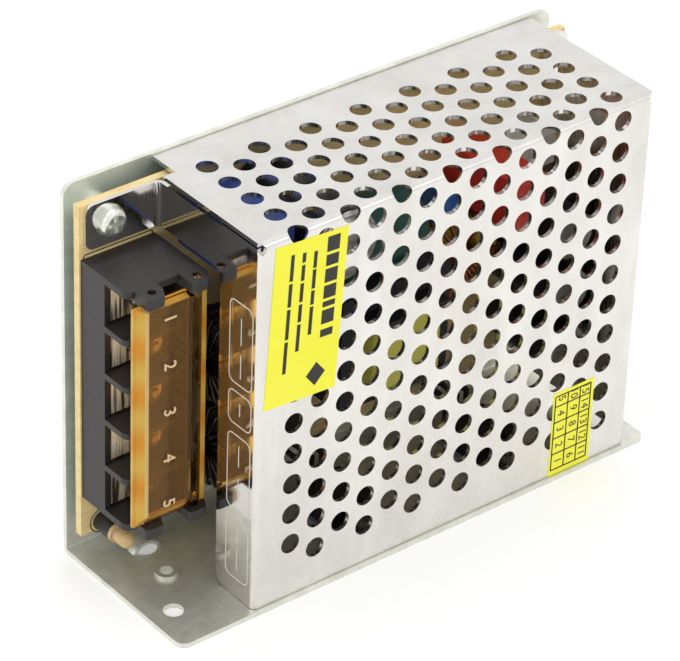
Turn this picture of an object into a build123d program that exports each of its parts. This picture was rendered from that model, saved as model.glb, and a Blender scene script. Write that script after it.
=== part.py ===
"""Switch-mode power supply in a perforated folded cover, standing on its side flange.

Millimetres. X runs along the length with the terminal end at -X, +Y points to the
mounting plate, +Z is up, and the origin is the centre of the underside.
"""

import os
from math import asin, cos, degrees, radians, sin

from build123d import *

os.makedirs("parts", exist_ok=True)

# Envelope of the whole unit
case_length = 110.0
case_depth = 36.0
case_height = 78.0
x_left = -case_length / 2
x_right = case_length / 2
y_front = -case_depth / 2
y_back = case_depth / 2

# Fits between neighbouring pieces
seat_gap = 0.1
loose_gap = 0.2
pivot_gap = 0.08

# Folded chassis: mounting plate at the back and side flange underneath
chassis_sheet = 1.0
chassis_bend = 1.5
plate_corner = 2.5
flange_corner = 2.0
plate_face = y_back - chassis_sheet
flange_top = chassis_sheet
side_hole_radius = 1.9
side_hole = (x_left + 5.0, y_front + 9.2)
thread_boss = (x_left + 10.4, y_front + 18.7)
thread_radius = 1.25
thread_boss_radius = 2.2
thread_boss_height = 0.7
louvre = (x_left + 11.8, y_front + 27.4)
louvre_radius = 3.1
louvre_height = 1.8
louvre_wall = 0.6
louvre_mouth = 1.6

# Circuit board on pressed bosses
boss_height = 3.0
boss_radius = 3.0
boss_thread_radius = 1.25
board_thickness = 1.6
board_end_gap = 0.2
board_top_drop = 2.0
board_bottom = 6.7
board_hole_radius = 1.7
board_back = plate_face - boss_height
board_face = board_back - board_thickness
board_top = case_height - board_top_drop
board_right = x_right - board_end_gap
upper_screw_z = case_height - 6.1
lower_screw_z = board_bottom + 4.5
near_screw_x = x_left + 5.8
far_screw_x = x_right - 3.1
lower_near_screw_x = x_left + 9.4
lower_far_screw_x = x_right - 9.6
upper_screws = [(near_screw_x, upper_screw_z), (far_screw_x, upper_screw_z)]
lower_screws = [(lower_near_screw_x, lower_screw_z), (lower_far_screw_x, lower_screw_z)]

# Insulating film between board and mounting plate
film_thickness = 0.3
film_margin = 3.5
film_hole_radius = boss_radius + 0.5

# Folded cover
cover_sheet = 0.8
cover_bend = 1.2
cover_set_in = 16.2
cover_far_set_in = 5.0
cover_set_back = 0.6
cover_top_step = 0.4
cover_left = x_left + cover_set_in
cover_right = x_right - cover_far_set_in
cover_length = cover_right - cover_left
cover_front = y_front + cover_set_back
cover_back = plate_face - seat_gap
cover_top = case_height - cover_top_step
cover_bottom = flange_top + seat_gap
wall_top = cover_top - cover_bend
fold_land = 0.8
bend_land = cover_bend + fold_land
strip_depth = 11.2
strip_corner = 3.0
far_foot_depth = 4.0
far_foot_height = 2.4
arm_corner = 1.5
notch_width = 2.5
notch_depth = 6.6
relief_radius = 1.1

# Screw tabs folded from the cover's end walls onto the board
tab_height = 8.8
tab_top = board_top
tab_bottom = tab_top - tab_height
tab_corner = 1.8
tab_bend = 1.8
tab_margin = 0.8
far_tab_margin = 0.1
far_fold_height = 8.0
far_screw_relief = 3.2
far_relief_depth = 2.0
tab_hole_radius = 1.7

# Perforation of the cover
hole_radius = 2.0
hole_pitch = 6.5
top_hole_pitch = 6.4
column_pitch = 5.64
column_margin = 8.0
last_column_margin = 6.0
first_column = cover_left + column_margin
column_count = int((cover_length - column_margin - last_column_margin) / column_pitch) + 1
top_rows = 4
lowest_even_hole = flange_top + 11.5
first_top_even = y_front + 7.3
bend_hole_half = 1.6
bend_hole_depth = 3.0

# Pan-head screws
head_radius = 2.6
head_height = 2.0
head_edge = 0.9
rim_radius = 2.9
rim_thickness = 0.5
shank_radius = 1.2
recess_width = 0.9
recess_span = 3.2
recess_depth = 1.2
board_screw_length = 5.2

# Terminal block with five screw ways and a hinged lid
way_count = 5
way_pitch = 9.7
block_center_z = 40.4
block_width = 15.6
block_inset = 0.3
end_plate = 1.35
divider = 1.2
cell_floor_height = 4.9
low_wall_height = 7.0
low_wall_thickness = 1.2
back_wall_thickness = 2.2
back_wall_height = 12.1
divider_height = 13.4
divider_round = 1.6
divider_step = 10.9
lug_height = 15.3
lug_half = 2.3
lug_tip = 2.2
lug_slant = 1.1
lug_round = 0.8
lug_root = 0.5
lug_thickness = 2.0
latch_lug_inset = 3.9
latch_hole_radius = 0.8
block_left = x_left + block_inset
block_right = block_left + block_width
block_length = way_pitch * way_count - divider + 2 * end_plate
block_bottom = block_center_z - block_length / 2
block_top = block_center_z + block_length / 2
cell_floor = board_face - cell_floor_height
way_centers = [block_center_z + way_pitch * (way_count // 2 - way) for way in range(way_count)]

# Terminal hardware
screw_inset = 7.9
terminal_x = block_left + screw_inset
tray_thickness = 0.8
tray_width = 7.4
tray_reach = 5.0
pin_right = terminal_x + tray_reach
pin_thickness = 0.9
pin_width = 3.0
pin_tail = 1.6
slot_clearance = 0.15
clamp_width = 7.6
clamp_thickness = 1.2
clamp_bore_radius = 2.0
clamp_groove = 0.25
clamp_groove_pitch = 0.5
clamp_groove_count = 8
clamp_left = block_left + low_wall_thickness + loose_gap
clamp_right = terminal_x + clamp_width / 2
terminal_shank_radius = 1.7
terminal_thread_radius = 1.75
terminal_shank_length = 4.6
terminal_head_radius = 3.1
terminal_head_height = 2.2
terminal_head_edge = 0.7
terminal_bore_depth = 3.6
tray_face = cell_floor - tray_thickness
clamp_back = tray_face
clamp_face = clamp_back - clamp_thickness
head_back = clamp_face - seat_gap

# Hinged lid over the terminals
lid_width = 15.6
lid_rim = 0.6
lid_rise = 1.2
lid_wall = 0.8
lid_back_set = 0.5
lid_foot_insets = (0.7, 1.0, 0.3, 0.3)
lid_panel_insets = (2.0, 3.9, 2.1, 0.7)
lid_panel_wall = 0.4
pivot_radius = 0.8
pivot_reach = 1.8
pivot_root = 2.0
lid_left = x_left + loose_gap
lid_right = lid_left + lid_width
lid_bottom = block_bottom + lug_thickness + loose_gap
lid_top = block_top - lug_thickness - loose_gap
pivot_x = block_right - lug_half
pivot_y = board_face - lug_height
lid_back = pivot_y + lid_back_set
lid_rim_face = lid_back - lid_rim
lid_panel_face = lid_rim_face - lid_rise

# Indicator lamp beside the block
lamp_x = x_left + 4.5
lamp_z = board_bottom + 1.8
lamp_radius = 1.5
lamp_rim_radius = 1.9
lamp_rim_height = 0.8
lamp_body_height = 2.3
spacer_height = 4.5
lead_radius = 0.3
lead_hole_radius = 0.4
lamp_lead_pitch = 1.6
lead_tail = 1.2
lamp_leads = [lamp_x + side * lamp_lead_pitch / 2 for side in (-1, 1)]

# Output trimmer, turned from the terminal end
trimmer_left = cover_left + 13.0
trimmer_width = 4.8
trimmer_size = 6.6
trimmer_bottom = board_bottom + 0.5
rotor_radius = 2.2
rotor_depth = 2.4
rotor_stand = 0.9
rotor_slot = 0.7
rotor_slot_depth = 0.8
rotor_pointer = 0.5

# Line-side components
line_cap_x = x_left + 21.0
line_cap_size = (10.0, 20.5, 11.9)
line_cap_bottom = board_top - 14.5
line_cap_round = 0.8
ring_center_radius = 5.65
ring_core_half = 2.1
ring_core_width = 5.0
ring_wire = 0.9
ring_wall = 0.15
ring_core_round = 0.6
ring_span = 150.0
ring_starts = (15.0, 195.0)
ring_lead_angle = 25.0
ring_lift = 0.3
ring_x = x_left + 23.4
ring_y = board_face - ring_lift - ring_center_radius - ring_core_half - ring_wall - ring_wire
upper_ring_z = 42.0
lower_ring_z = 23.9
input_cap_center = (x_left + 38.8, board_top - 9.3)
input_cap_radius = 7.0
input_cap_height = 25.0
bulk_cap_left = x_left + 44.5
bulk_cap_length = 21.5
bulk_cap_radius = 7.7
bulk_cap_z = 54.6
bulk_cap_lift = 0.3
bulk_lead_pitch = 7.5
bulk_lead_reach = 0.9
can_edge = 1.0
can_groove_radius = 0.45
can_groove = 2.4
can_vent_depth = 0.3
can_vent_width = 0.4
bridge_left = x_left + 31.0
bridge_size = (3.6, 11.0, 15.0)
bridge_bottom = 38.0
bridge_corner = 2.5
bridge_lift = 2.0
bridge_pins = 4
fuse_x = x_left + 39.9
fuse_z = 42.0
fuse_radius = 2.6
fuse_length = 20.0
fuse_cap_length = 5.5
fuse_cap_wall = 0.3
fuse_glass_wall = 0.5
fuse_height = 4.2
fuse_y = board_face - fuse_height
clip_sheet = 0.4
clip_width = 4.0
thermistor_x = x_left + 37.0
thermistor_z = 25.5
thermistor_radius = 5.0
thermistor_thickness = 4.0
disc_lift = 1.5
disc_round = 1.0
disc_lead_pitch = 5.0
chip_x = x_left + 41.0
chip_z = 15.0
chip_size = (9.6, 3.4, 6.6)
chip_lead = (0.6, 1.2, 2.0)
chip_lead_pitch = 2.54
chip_pins = 4

# Transformer
core_center = (x_left + 59.5, 34.5)
core_width = 25.0
core_length = 24.0
core_thickness = 8.0
core_back = 4.0
core_leg = 3.8
core_middle = 7.0
bobbin_base = 3.0
bobbin_flange = 1.0
bobbin_wall = 0.8
winding_width = 15.6
winding_depth = 17.0
winding_round = 2.0
core_lift = 10.6
core_y = board_face - core_lift

# Output-side components
output_ring_x = cover_right - 23.0
output_ring_center_radius = 6.4
output_ring_span = 300.0
output_ring_y = board_face - ring_core_width / 2 - ring_wall - ring_wire
output_ring_z = 39.0
output_cap_rows = (20.0, 32.5, 45.0)
output_cap_radius = 5.0
output_cap_height = 20.0
output_cap_gap = 2.0
output_cap_x = cover_right - cover_sheet - output_cap_gap - output_cap_radius
film_cap_left = cover_right - 24.0
film_cap_size = (7.5, 21.0, 10.5)
film_cap_bottom = 51.5
film_cap_round = 0.8
load_resistor_left = cover_right - 16.0
load_resistor_size = (12.0, 9.0, 6.4)
load_resistor_bottom = 54.5
safety_cap_x = cover_right - 29.0
safety_cap_z = 53.0
safety_cap_radius = 4.2
safety_cap_thickness = 4.0
coupler_x = cover_right - 27.0
coupler_z = 24.5
coupler_size = (4.6, 3.4, 6.4)
coupler_pins = 2
resistor_left = cover_right - 35.0
resistor_length = 7.0
resistor_radius = 1.2
resistor_lift = 1.6
resistor_lead_reach = 1.2
resistor_rows = (11.5, 15.0, 18.5)

# Power semiconductors cooled by the side flange
pad_thickness = 0.3
package_width = 10.2
package_length = 15.4
package_height = 4.4
package_tab = 1.3
package_tab_length = 5.6
package_hole_radius = 1.8
package_front = -12.0
switch_x = x_left + 47.0
rectifier_x = cover_right - 23.0
package_lead = 0.8
package_lead_pitch = 2.54
package_knee = 2.4
package_lead_z = board_bottom + 2.3
pad_margin = 0.8
package_head_radius = 2.6
package_head_height = 1.8

# Labels on the cover
label_thickness = 0.1
caution_size = (15.6, 32.4)
caution_center = (x_left + 26.1, 59.4)
caution_turn = 3.2
record_size = (10.0, 18.7)
record_left = cover_right - 19.3


def block(x0, x1, y0, y1, z0, z1, mode=Mode.ADD):
    """Straight block between two corners."""
    with Locations((x0, y0, z0)):
        Box(x1 - x0, y1 - y0, z1 - z0, align=(Align.MIN, Align.MIN, Align.MIN), mode=mode)


def bar(origin, direction, radius, length, mode=Mode.ADD):
    """Round bar that starts at a point and runs along a direction."""
    with Locations(Plane(origin=origin, z_dir=direction)):
        Cylinder(radius, length, align=(Align.CENTER, Align.CENTER, Align.MIN), mode=mode)


def folded_section(corner, leg_a, leg_b, sheet, bend):
    """Section of a folded sheet whose outer corner and two legs are given."""
    outer = Vector(*corner)
    end_a = outer + Vector(*leg_a)
    end_b = outer + Vector(*leg_b)
    step_a = Vector(*leg_a).normalized() * sheet
    step_b = Vector(*leg_b).normalized() * sheet
    inner = outer + step_a + step_b
    Polygon(end_a, outer, end_b, end_b + step_a, inner, end_a + step_b, align=None)
    for target, radius in ((outer, bend), (inner, bend - sheet)):
        fillet(vertices().sort_by_distance(target)[0], radius)


def pan_screw(radius, height, edge, shank, length):
    """Pan head above the seat plane with its shank below, on the Z axis."""
    with BuildSketch(Plane.XZ) as profile:
        with BuildLine():
            Polyline((0, -length), (shank, -length), (shank, 0), (radius, 0), (radius, height - edge))
            RadiusArc((radius, height - edge), (radius - edge, height), -edge)
            Polyline((radius - edge, height), (0, height), (0, -length))
        make_face()
    revolve(profile.sketch, axis=Axis.Z)
    with Locations((0, 0, height - recess_depth / 2)):
        Box(recess_span, recess_width, recess_depth, mode=Mode.SUBTRACT)
        Box(recess_width, recess_span, recess_depth, mode=Mode.SUBTRACT)


def ring_plane(center, angle):
    """Plane through a ring's axis, its local Y pointing outward at an angle about X."""
    tilt = radians(angle)
    return Plane(origin=center, x_dir=(1, 0, 0), z_dir=(0, -sin(tilt), cos(tilt)))


def ring_core(center):
    """Ferrite ring standing on edge with its axis along X."""
    with BuildSketch(ring_plane(center, 0)) as profile:
        with Locations((0, ring_center_radius)):
            RectangleRounded(ring_core_width, 2 * ring_core_half, ring_core_round)
    revolve(profile.sketch, axis=Axis(center, (1, 0, 0)))


def ring_winding(center, leads):
    """Two wound halves round a ring, with leads down to the board."""
    for start in ring_starts:
        with BuildSketch(ring_plane(center, start)) as profile:
            with Locations((0, ring_center_radius)):
                grow = 2 * (ring_wall + ring_wire)
                RectangleRounded(ring_core_width + grow, 2 * ring_core_half + grow, ring_wire)
                hollow = 2 * ring_wall
                RectangleRounded(ring_core_width + hollow, 2 * ring_core_half + hollow,
                                 ring_core_round, mode=Mode.SUBTRACT)
        revolve(profile.sketch, axis=Axis(center, (1, 0, 0)), revolution_arc=ring_span)
    reach = ring_center_radius + ring_core_half + ring_wall + ring_wire / 2
    for side in leads:
        shift = side * reach * sin(radians(ring_lead_angle))
        drop = reach * cos(radians(ring_lead_angle))
        start_y = center[1] + drop
        bar((center[0], start_y, center[2] + shift), (0, 1, 0), ring_wire / 2, board_face - start_y)


def can(base, axis, side, radius, height):
    """Electrolytic can that stands on its base along an axis, with a groove and a vent cross."""
    rise = Vector(*axis)
    plane = Plane(origin=base, x_dir=side, z_dir=Vector(*side).cross(rise))
    with BuildSketch(plane) as profile:
        with BuildLine():
            Polyline((0, height), (0, 0), (radius - can_edge / 2, 0), (radius, can_edge / 2),
                     (radius, can_groove - can_groove_radius))
            ThreePointArc((radius, can_groove - can_groove_radius),
                          (radius - can_groove_radius, can_groove),
                          (radius, can_groove + can_groove_radius))
            Line((radius, can_groove + can_groove_radius), (radius, height - can_edge))
            RadiusArc((radius, height - can_edge), (radius - can_edge, height), -can_edge)
            Line((radius - can_edge, height), (0, height))
        make_face()
    revolve(profile.sketch, axis=Axis(base, axis))
    with Locations(Plane(origin=Vector(*base) + rise * height, x_dir=side, z_dir=axis)):
        Box(radius, can_vent_width, 2 * can_vent_depth, mode=Mode.SUBTRACT)
        Box(can_vent_width, radius, 2 * can_vent_depth, mode=Mode.SUBTRACT)


def dual_in_line(center, size, pins):
    """Moulded package lying on the board with a row of leads on both long edges."""
    width, height, depth = size
    x, z = center
    lead_thick, lead_drop, lead_wide = chip_lead
    block(x - width / 2, x + width / 2, board_face - lead_drop - height, board_face - lead_drop,
          z - depth / 2, z + depth / 2)
    for index in range(pins):
        pin_x = x + (index - (pins - 1) / 2) * chip_lead_pitch
        for side in (-1, 1):
            near = z + side * (depth / 2 + lead_wide / 2 - lead_thick / 2)
            block(pin_x - lead_thick, pin_x + lead_thick, board_face - lead_drop - height / 2,
                  board_face, near - lead_thick / 2, near + lead_thick / 2)
            block(pin_x - lead_thick, pin_x + lead_thick, board_face - lead_drop - height / 2,
                  board_face - lead_drop - height / 2 + lead_thick,
                  min(z, near), max(z, near))


def power_package(x):
    """Tab package lying on the flange with three leads bent up into the board."""
    base = flange_top + pad_thickness
    back = package_front + package_length
    block(x - package_width / 2, x + package_width / 2, package_front, back, base, base + package_tab)
    block(x - package_width / 2, x + package_width / 2, package_front + package_tab_length, back,
          base, base + package_height)
    hole_y = package_front + package_tab_length / 2
    bar((x, hole_y, base), (0, 0, 1), package_hole_radius, package_tab, Mode.SUBTRACT)
    level = base + package_height / 2
    for index in (-1, 0, 1):
        left = x + index * package_lead_pitch - package_lead / 2
        right = left + package_lead
        knee = back + package_knee
        block(left, right, back, knee, level, level + package_lead)
        block(left, right, knee - package_lead, knee, level, package_lead_z)
        block(left, right, knee - package_lead, board_face, package_lead_z - package_lead, package_lead_z)


def end_wall(outer_x, inward, outline, rounds):
    """End wall of the cover with the given outline, folded from the front wall."""
    inner_x = outer_x + inward * cover_sheet
    with BuildSketch(Plane.YZ.offset(min(outer_x, inner_x))) as wall:
        Polygon(*outline, align=None)
        for corner, radius in rounds:
            fillet(vertices().sort_by_distance(corner)[0], radius)
    extrude(wall.sketch, amount=cover_sheet)
    with BuildSketch(Plane.XY.offset(cover_bottom)) as front_fold:
        folded_section((outer_x, cover_front), (inward * bend_land, 0), (0, bend_land),
                       cover_sheet, cover_bend)
    extrude(front_fold.sketch, amount=wall_top - cover_bottom)


def screw_tab(outer_x, inward, reach, bottom, top):
    """Tab folded outward from an end wall onto the board."""
    with BuildSketch(Plane.XY.offset(bottom)) as tab_fold:
        folded_section((outer_x + inward * cover_sheet, board_face), (0, -bend_land),
                       (-inward * (reach + cover_sheet), 0), cover_sheet, tab_bend)
    extrude(tab_fold.sketch, amount=top - bottom)


# Chassis: one folded sheet with pressed board bosses and the flange's fixings
with BuildPart() as chassis:
    with BuildSketch(Plane.YZ.offset(x_left)):
        folded_section((y_back, 0), (-case_depth, 0), (0, case_height), chassis_sheet, chassis_bend)
    extrude(amount=case_length)
    plate_corners = chassis.edges().filter_by(Axis.Y).group_by(Axis.Z)[-1]
    fillet(plate_corners, plate_corner)
    flange_corners = chassis.edges().filter_by(Axis.Z).group_by(Axis.Y)[0]
    fillet(flange_corners, flange_corner)
    for boss_x, boss_z in upper_screws + lower_screws:
        bar((boss_x, plate_face, boss_z), (0, -1, 0), boss_radius, boss_height)
        bar((boss_x, y_back, boss_z), (0, -1, 0), boss_thread_radius, chassis_sheet + boss_height,
            Mode.SUBTRACT)
    bar((*side_hole, 0), (0, 0, 1), side_hole_radius, chassis_sheet, Mode.SUBTRACT)
    bar((*thread_boss, flange_top), (0, 0, 1), thread_boss_radius, thread_boss_height)
    bar((*thread_boss, 0), (0, 0, 1), thread_radius, chassis_sheet + thread_boss_height, Mode.SUBTRACT)
    dome_radius = (louvre_radius**2 + louvre_height**2) / (2 * louvre_height)
    dome_sink = dome_radius - louvre_height
    with Locations((*louvre, flange_top - dome_sink)):
        Sphere(dome_radius, arc_size1=degrees(asin(dome_sink / dome_radius)), align=None)
        Sphere(dome_radius - louvre_wall, mode=Mode.SUBTRACT)
    block(louvre[0] - louvre_radius, louvre[0] + louvre_radius,
          louvre[1] - louvre_radius, louvre[1] - louvre_radius + louvre_mouth + louvre_wall,
          flange_top, flange_top + louvre_height, Mode.SUBTRACT)
    for package_x in (switch_x, rectifier_x):
        bar((package_x, package_front + package_tab_length / 2, 0), (0, 0, 1), boss_thread_radius,
            chassis_sheet, Mode.SUBTRACT)
chassis.part.label = "chassis"
export_step(chassis.part, "parts/chassis.step")

# Cover: front wall, top and two end walls folded from one perforated sheet
with BuildPart() as cover:
    with BuildSketch(Plane.YZ.offset(cover_left)):
        folded_section((cover_front, cover_top), (0, cover_bottom - cover_top),
                       (cover_back - cover_front, 0), cover_sheet, cover_bend)
    extrude(amount=cover_length)
    for corner_x in (cover_left, cover_right - cover_bend):
        block(corner_x, corner_x + cover_bend, cover_front, cover_front + cover_bend,
              cover_bottom, wall_top, Mode.SUBTRACT)
    bend_end = cover_front + cover_bend
    strip_end = cover_front + strip_depth
    tab_fold_y = board_face - tab_bend
    end_wall(cover_left, 1,
             [(bend_end, cover_bottom), (strip_end, cover_bottom), (strip_end, tab_bottom),
              (tab_fold_y, tab_bottom), (tab_fold_y, tab_top), (strip_end, tab_top),
              (strip_end, wall_top), (bend_end, wall_top)],
             [((strip_end, cover_bottom), strip_corner), ((strip_end, tab_bottom), arm_corner)])
    screw_tab(cover_left, 1, cover_set_in - tab_margin, tab_bottom, tab_top)
    foot_end = cover_front + far_foot_depth
    foot_top = cover_bottom + far_foot_height
    relief_z = upper_screw_z - far_screw_relief
    relief_y = board_face - cover_sheet - head_height - far_relief_depth
    end_wall(cover_right, -1,
             [(bend_end, cover_bottom), (foot_end, cover_bottom), (foot_end, foot_top),
              (tab_fold_y, foot_top), (tab_fold_y, relief_z), (relief_y, relief_z),
              (relief_y, wall_top), (bend_end, wall_top)],
             [((foot_end, foot_top), arm_corner), ((relief_y, relief_z), arm_corner)])
    far_reach = x_right - cover_right - far_tab_margin
    screw_tab(cover_right, -1, far_reach, relief_z - far_fold_height, relief_z)
    block(far_screw_x - head_radius, cover_right + far_reach, board_face - cover_sheet, board_face,
          relief_z, tab_top)
    for tab_end in (cover.edges().filter_by(Axis.Y).group_by(Axis.X)[0],
                    cover.edges().filter_by(Axis.Y).group_by(Axis.X)[-1]):
        fillet(tab_end, tab_corner)
    for screw_x, screw_z in upper_screws:
        bar((screw_x, board_face, screw_z), (0, -1, 0), tab_hole_radius, cover_sheet, Mode.SUBTRACT)
    for corner_x in (cover_left, cover_right):
        bar((corner_x, cover_front, wall_top), (0, 1, 0), relief_radius, cover_bend, Mode.SUBTRACT)
    block(cover_left, cover_left + notch_width, cover_back - notch_depth, cover_back,
          cover_top - cover_sheet, cover_top, Mode.SUBTRACT)
    with BuildSketch(Plane(origin=(0, cover_front, 0), x_dir=(1, 0, 0), z_dir=(0, -1, 0))):
        for column in range(column_count):
            lowest = lowest_even_hole - column % 2 * hole_pitch / 2
            rows = int((wall_top - lowest) / hole_pitch) + 1
            column_x = first_column + column * column_pitch
            with Locations([(column_x, lowest + row * hole_pitch) for row in range(rows)]):
                Circle(hole_radius)
    extrude(amount=-cover_sheet, mode=Mode.SUBTRACT)
    with BuildSketch(Plane.XY.offset(cover_top)):
        for column in range(column_count):
            first_row = first_top_even - column % 2 * top_hole_pitch / 2
            column_x = first_column + column * column_pitch
            with Locations([(column_x, first_row + row * top_hole_pitch) for row in range(top_rows)]):
                Circle(hole_radius)
    extrude(amount=-cover_sheet, mode=Mode.SUBTRACT)
    with BuildSketch(Plane(origin=(0, cover_front, cover_top), x_dir=(1, 0, 0), z_dir=(0, -1, 1))):
        with Locations([(first_column + column * column_pitch, 0) for column in range(0, column_count, 2)]):
            Ellipse(hole_radius, bend_hole_half)
    extrude(amount=-bend_hole_depth, mode=Mode.SUBTRACT)
cover.part.label = "cover"
export_step(cover.part, "parts/cover.step")

# Labels glued on the front of the cover
with BuildPart() as caution_label:
    with BuildSketch(Plane(origin=(caution_center[0], cover_front, caution_center[1]),
                           x_dir=(1, 0, 0), z_dir=(0, -1, 0))):
        Rectangle(*caution_size, rotation=-caution_turn)
    extrude(amount=label_thickness)
caution_label.part.label = "caution_label"
export_step(caution_label.part, "parts/caution_label.step")

with BuildPart() as record_label:
    block(record_left, record_left + record_size[0], cover_front - label_thickness, cover_front,
          cover_bottom, cover_bottom + record_size[1])
record_label.part.label = "record_label"
export_step(record_label.part, "parts/record_label.step")

# Insulating film on the plate, cut out round the bosses
with BuildPart() as insulating_film:
    block(x_left + film_margin, board_right - film_margin, plate_face - film_thickness, plate_face,
          board_bottom + film_margin, board_top - film_margin)
    for boss_x, boss_z in upper_screws + lower_screws:
        bar((boss_x, plate_face, boss_z), (0, -1, 0), film_hole_radius, film_thickness, Mode.SUBTRACT)
insulating_film.part.label = "insulating_film"
export_step(insulating_film.part, "parts/insulating_film.step")

# Circuit board with its screw holes, terminal slots and lamp holes
with BuildPart() as circuit_board:
    block(x_left, board_right, board_face, board_back, board_bottom, board_top)
    for screw_x, screw_z in upper_screws + lower_screws:
        bar((screw_x, board_back, screw_z), (0, -1, 0), board_hole_radius, board_thickness, Mode.SUBTRACT)
    for way_z in way_centers:
        block(pin_right - pin_thickness - slot_clearance, pin_right + slot_clearance,
              board_face, board_back, way_z - pin_width / 2 - slot_clearance,
              way_z + pin_width / 2 + slot_clearance, Mode.SUBTRACT)
    for lead_x in lamp_leads:
        bar((lead_x, board_back, lamp_z), (0, -1, 0), lead_hole_radius, board_thickness, Mode.SUBTRACT)
circuit_board.part.label = "circuit_board"
export_step(circuit_board.part, "parts/circuit_board.step")

# Screws that hold the cover and the board on the chassis bosses
with BuildPart() as screw_pattern:
    pan_screw(head_radius, head_height, head_edge, shank_radius, board_screw_length)
    with Locations((0, 0, rim_thickness / 2)):
        Cylinder(rim_radius, rim_thickness)

with BuildPart() as board_screws:
    seats = [(x, board_face - cover_sheet, z) for x, z in upper_screws]
    seats += [(x, board_face, z) for x, z in lower_screws]
    with Locations([Plane(origin=seat, x_dir=(1, 0, 0), z_dir=(0, -1, 0)) for seat in seats]):
        add(screw_pattern.part)
board_screws.part.label = "board_screws"
export_step(board_screws.part, "parts/board_screws.step")

# Terminal block: five open cells between dividers, with hinge and latch lugs on both ends
with BuildPart() as terminal_block:
    low_y = board_face - low_wall_height
    high_y = board_face - divider_height
    step_y = board_face - back_wall_height
    block(block_left, block_right, cell_floor, board_face, block_bottom, block_top)
    block(block_left, block_left + low_wall_thickness, low_y, cell_floor, block_bottom, block_top)
    block(block_right - back_wall_thickness, block_right, step_y, cell_floor, block_bottom, block_top)
    webs = [(block_bottom, end_plate), (block_top - end_plate, end_plate)]
    webs += [(way_centers[0] - (way + 0.5) * way_pitch - divider / 2, divider)
             for way in range(way_count - 1)]
    for web_z, web_thickness in webs:
        with BuildSketch(Plane.XY.offset(web_z)):
            Polygon((block_left, cell_floor), (block_left, high_y), (block_left + divider_step, high_y),
                    (block_left + divider_step, step_y), (block_right, step_y), (block_right, cell_floor),
                    align=None)
            fillet(vertices().sort_by_distance((block_left, high_y))[0], divider_round)
        extrude(amount=web_thickness)
    for plate_z in (block_bottom, block_top - lug_thickness):
        for lug_x, lug_foot in ((block_left + latch_lug_inset, high_y), (pivot_x, step_y)):
            lug_left = lug_x - lug_half
            lug_right = lug_x + lug_half
            tip_y = pivot_y - lug_tip
            with BuildSketch(Plane.XY.offset(plate_z)):
                Polygon((lug_left, lug_foot + lug_root), (lug_left, tip_y), (lug_right - lug_slant, tip_y),
                        (lug_right, pivot_y), (lug_right, lug_foot + lug_root), align=None)
                fillet(vertices().group_by(Axis.Y)[0], lug_round)
            extrude(amount=lug_thickness)
        bar((pivot_x, pivot_y, plate_z), (0, 0, 1), pivot_radius + pivot_gap, lug_thickness, Mode.SUBTRACT)
        bar((block_left + latch_lug_inset, pivot_y, plate_z), (0, 0, 1), latch_hole_radius, lug_thickness,
            Mode.SUBTRACT)
    for way_z in way_centers:
        bar((terminal_x, cell_floor, way_z), (0, 1, 0), terminal_shank_radius + loose_gap,
            terminal_bore_depth, Mode.SUBTRACT)
        block(pin_right - pin_thickness - slot_clearance, pin_right + slot_clearance,
              cell_floor, board_face, way_z - pin_width / 2 - slot_clearance,
              way_z + pin_width / 2 + slot_clearance, Mode.SUBTRACT)
terminal_block.part.label = "terminal_block"
export_step(terminal_block.part, "parts/terminal_block.step")

# Metal trays on the cell floors, each with a tail through the board
with BuildPart() as terminal_trays:
    for way_z in way_centers:
        block(clamp_left, pin_right, tray_face, cell_floor,
              way_z - tray_width / 2, way_z + tray_width / 2)
        block(pin_right - pin_thickness, pin_right, cell_floor, board_back + pin_tail,
              way_z - pin_width / 2, way_z + pin_width / 2)
        bar((terminal_x, tray_face, way_z), (0, 1, 0), terminal_thread_radius, tray_thickness, Mode.SUBTRACT)
terminal_trays.part.label = "terminal_trays"
export_step(terminal_trays.part, "parts/terminal_trays.step")

# Grooved clamp plates under the screw heads, reaching out to the wire ways
with BuildPart() as clamp_plates:
    for way_z in way_centers:
        low_z = way_z - clamp_width / 2
        high_z = way_z + clamp_width / 2
        block(clamp_left, clamp_right, clamp_face, clamp_back, low_z, high_z)
        bar((terminal_x, clamp_face, way_z), (0, 1, 0), clamp_bore_radius, clamp_thickness, Mode.SUBTRACT)
        for groove in range(clamp_groove_count):
            groove_x = clamp_left + (groove + 1) * clamp_groove_pitch
            block(groove_x - clamp_groove / 2, groove_x + clamp_groove / 2, clamp_face,
                  clamp_face + clamp_groove, low_z, high_z, Mode.SUBTRACT)
clamp_plates.part.label = "clamp_plates"
export_step(clamp_plates.part, "parts/clamp_plates.step")

# Terminal screws, the top way first
with BuildPart() as terminal_screw_pattern:
    pan_screw(terminal_head_radius, terminal_head_height, terminal_head_edge, terminal_shank_radius,
              terminal_shank_length)

for number, way_z in enumerate(way_centers, 1):
    with BuildPart() as terminal_screw:
        with Locations(Plane(origin=(terminal_x, head_back, way_z), x_dir=(1, 0, 0), z_dir=(0, -1, 0))):
            add(terminal_screw_pattern.part)
    terminal_screw.part.label = f"terminal_screw_{number}"
    export_step(terminal_screw.part, f"parts/terminal_screw_{number}.step")

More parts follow.
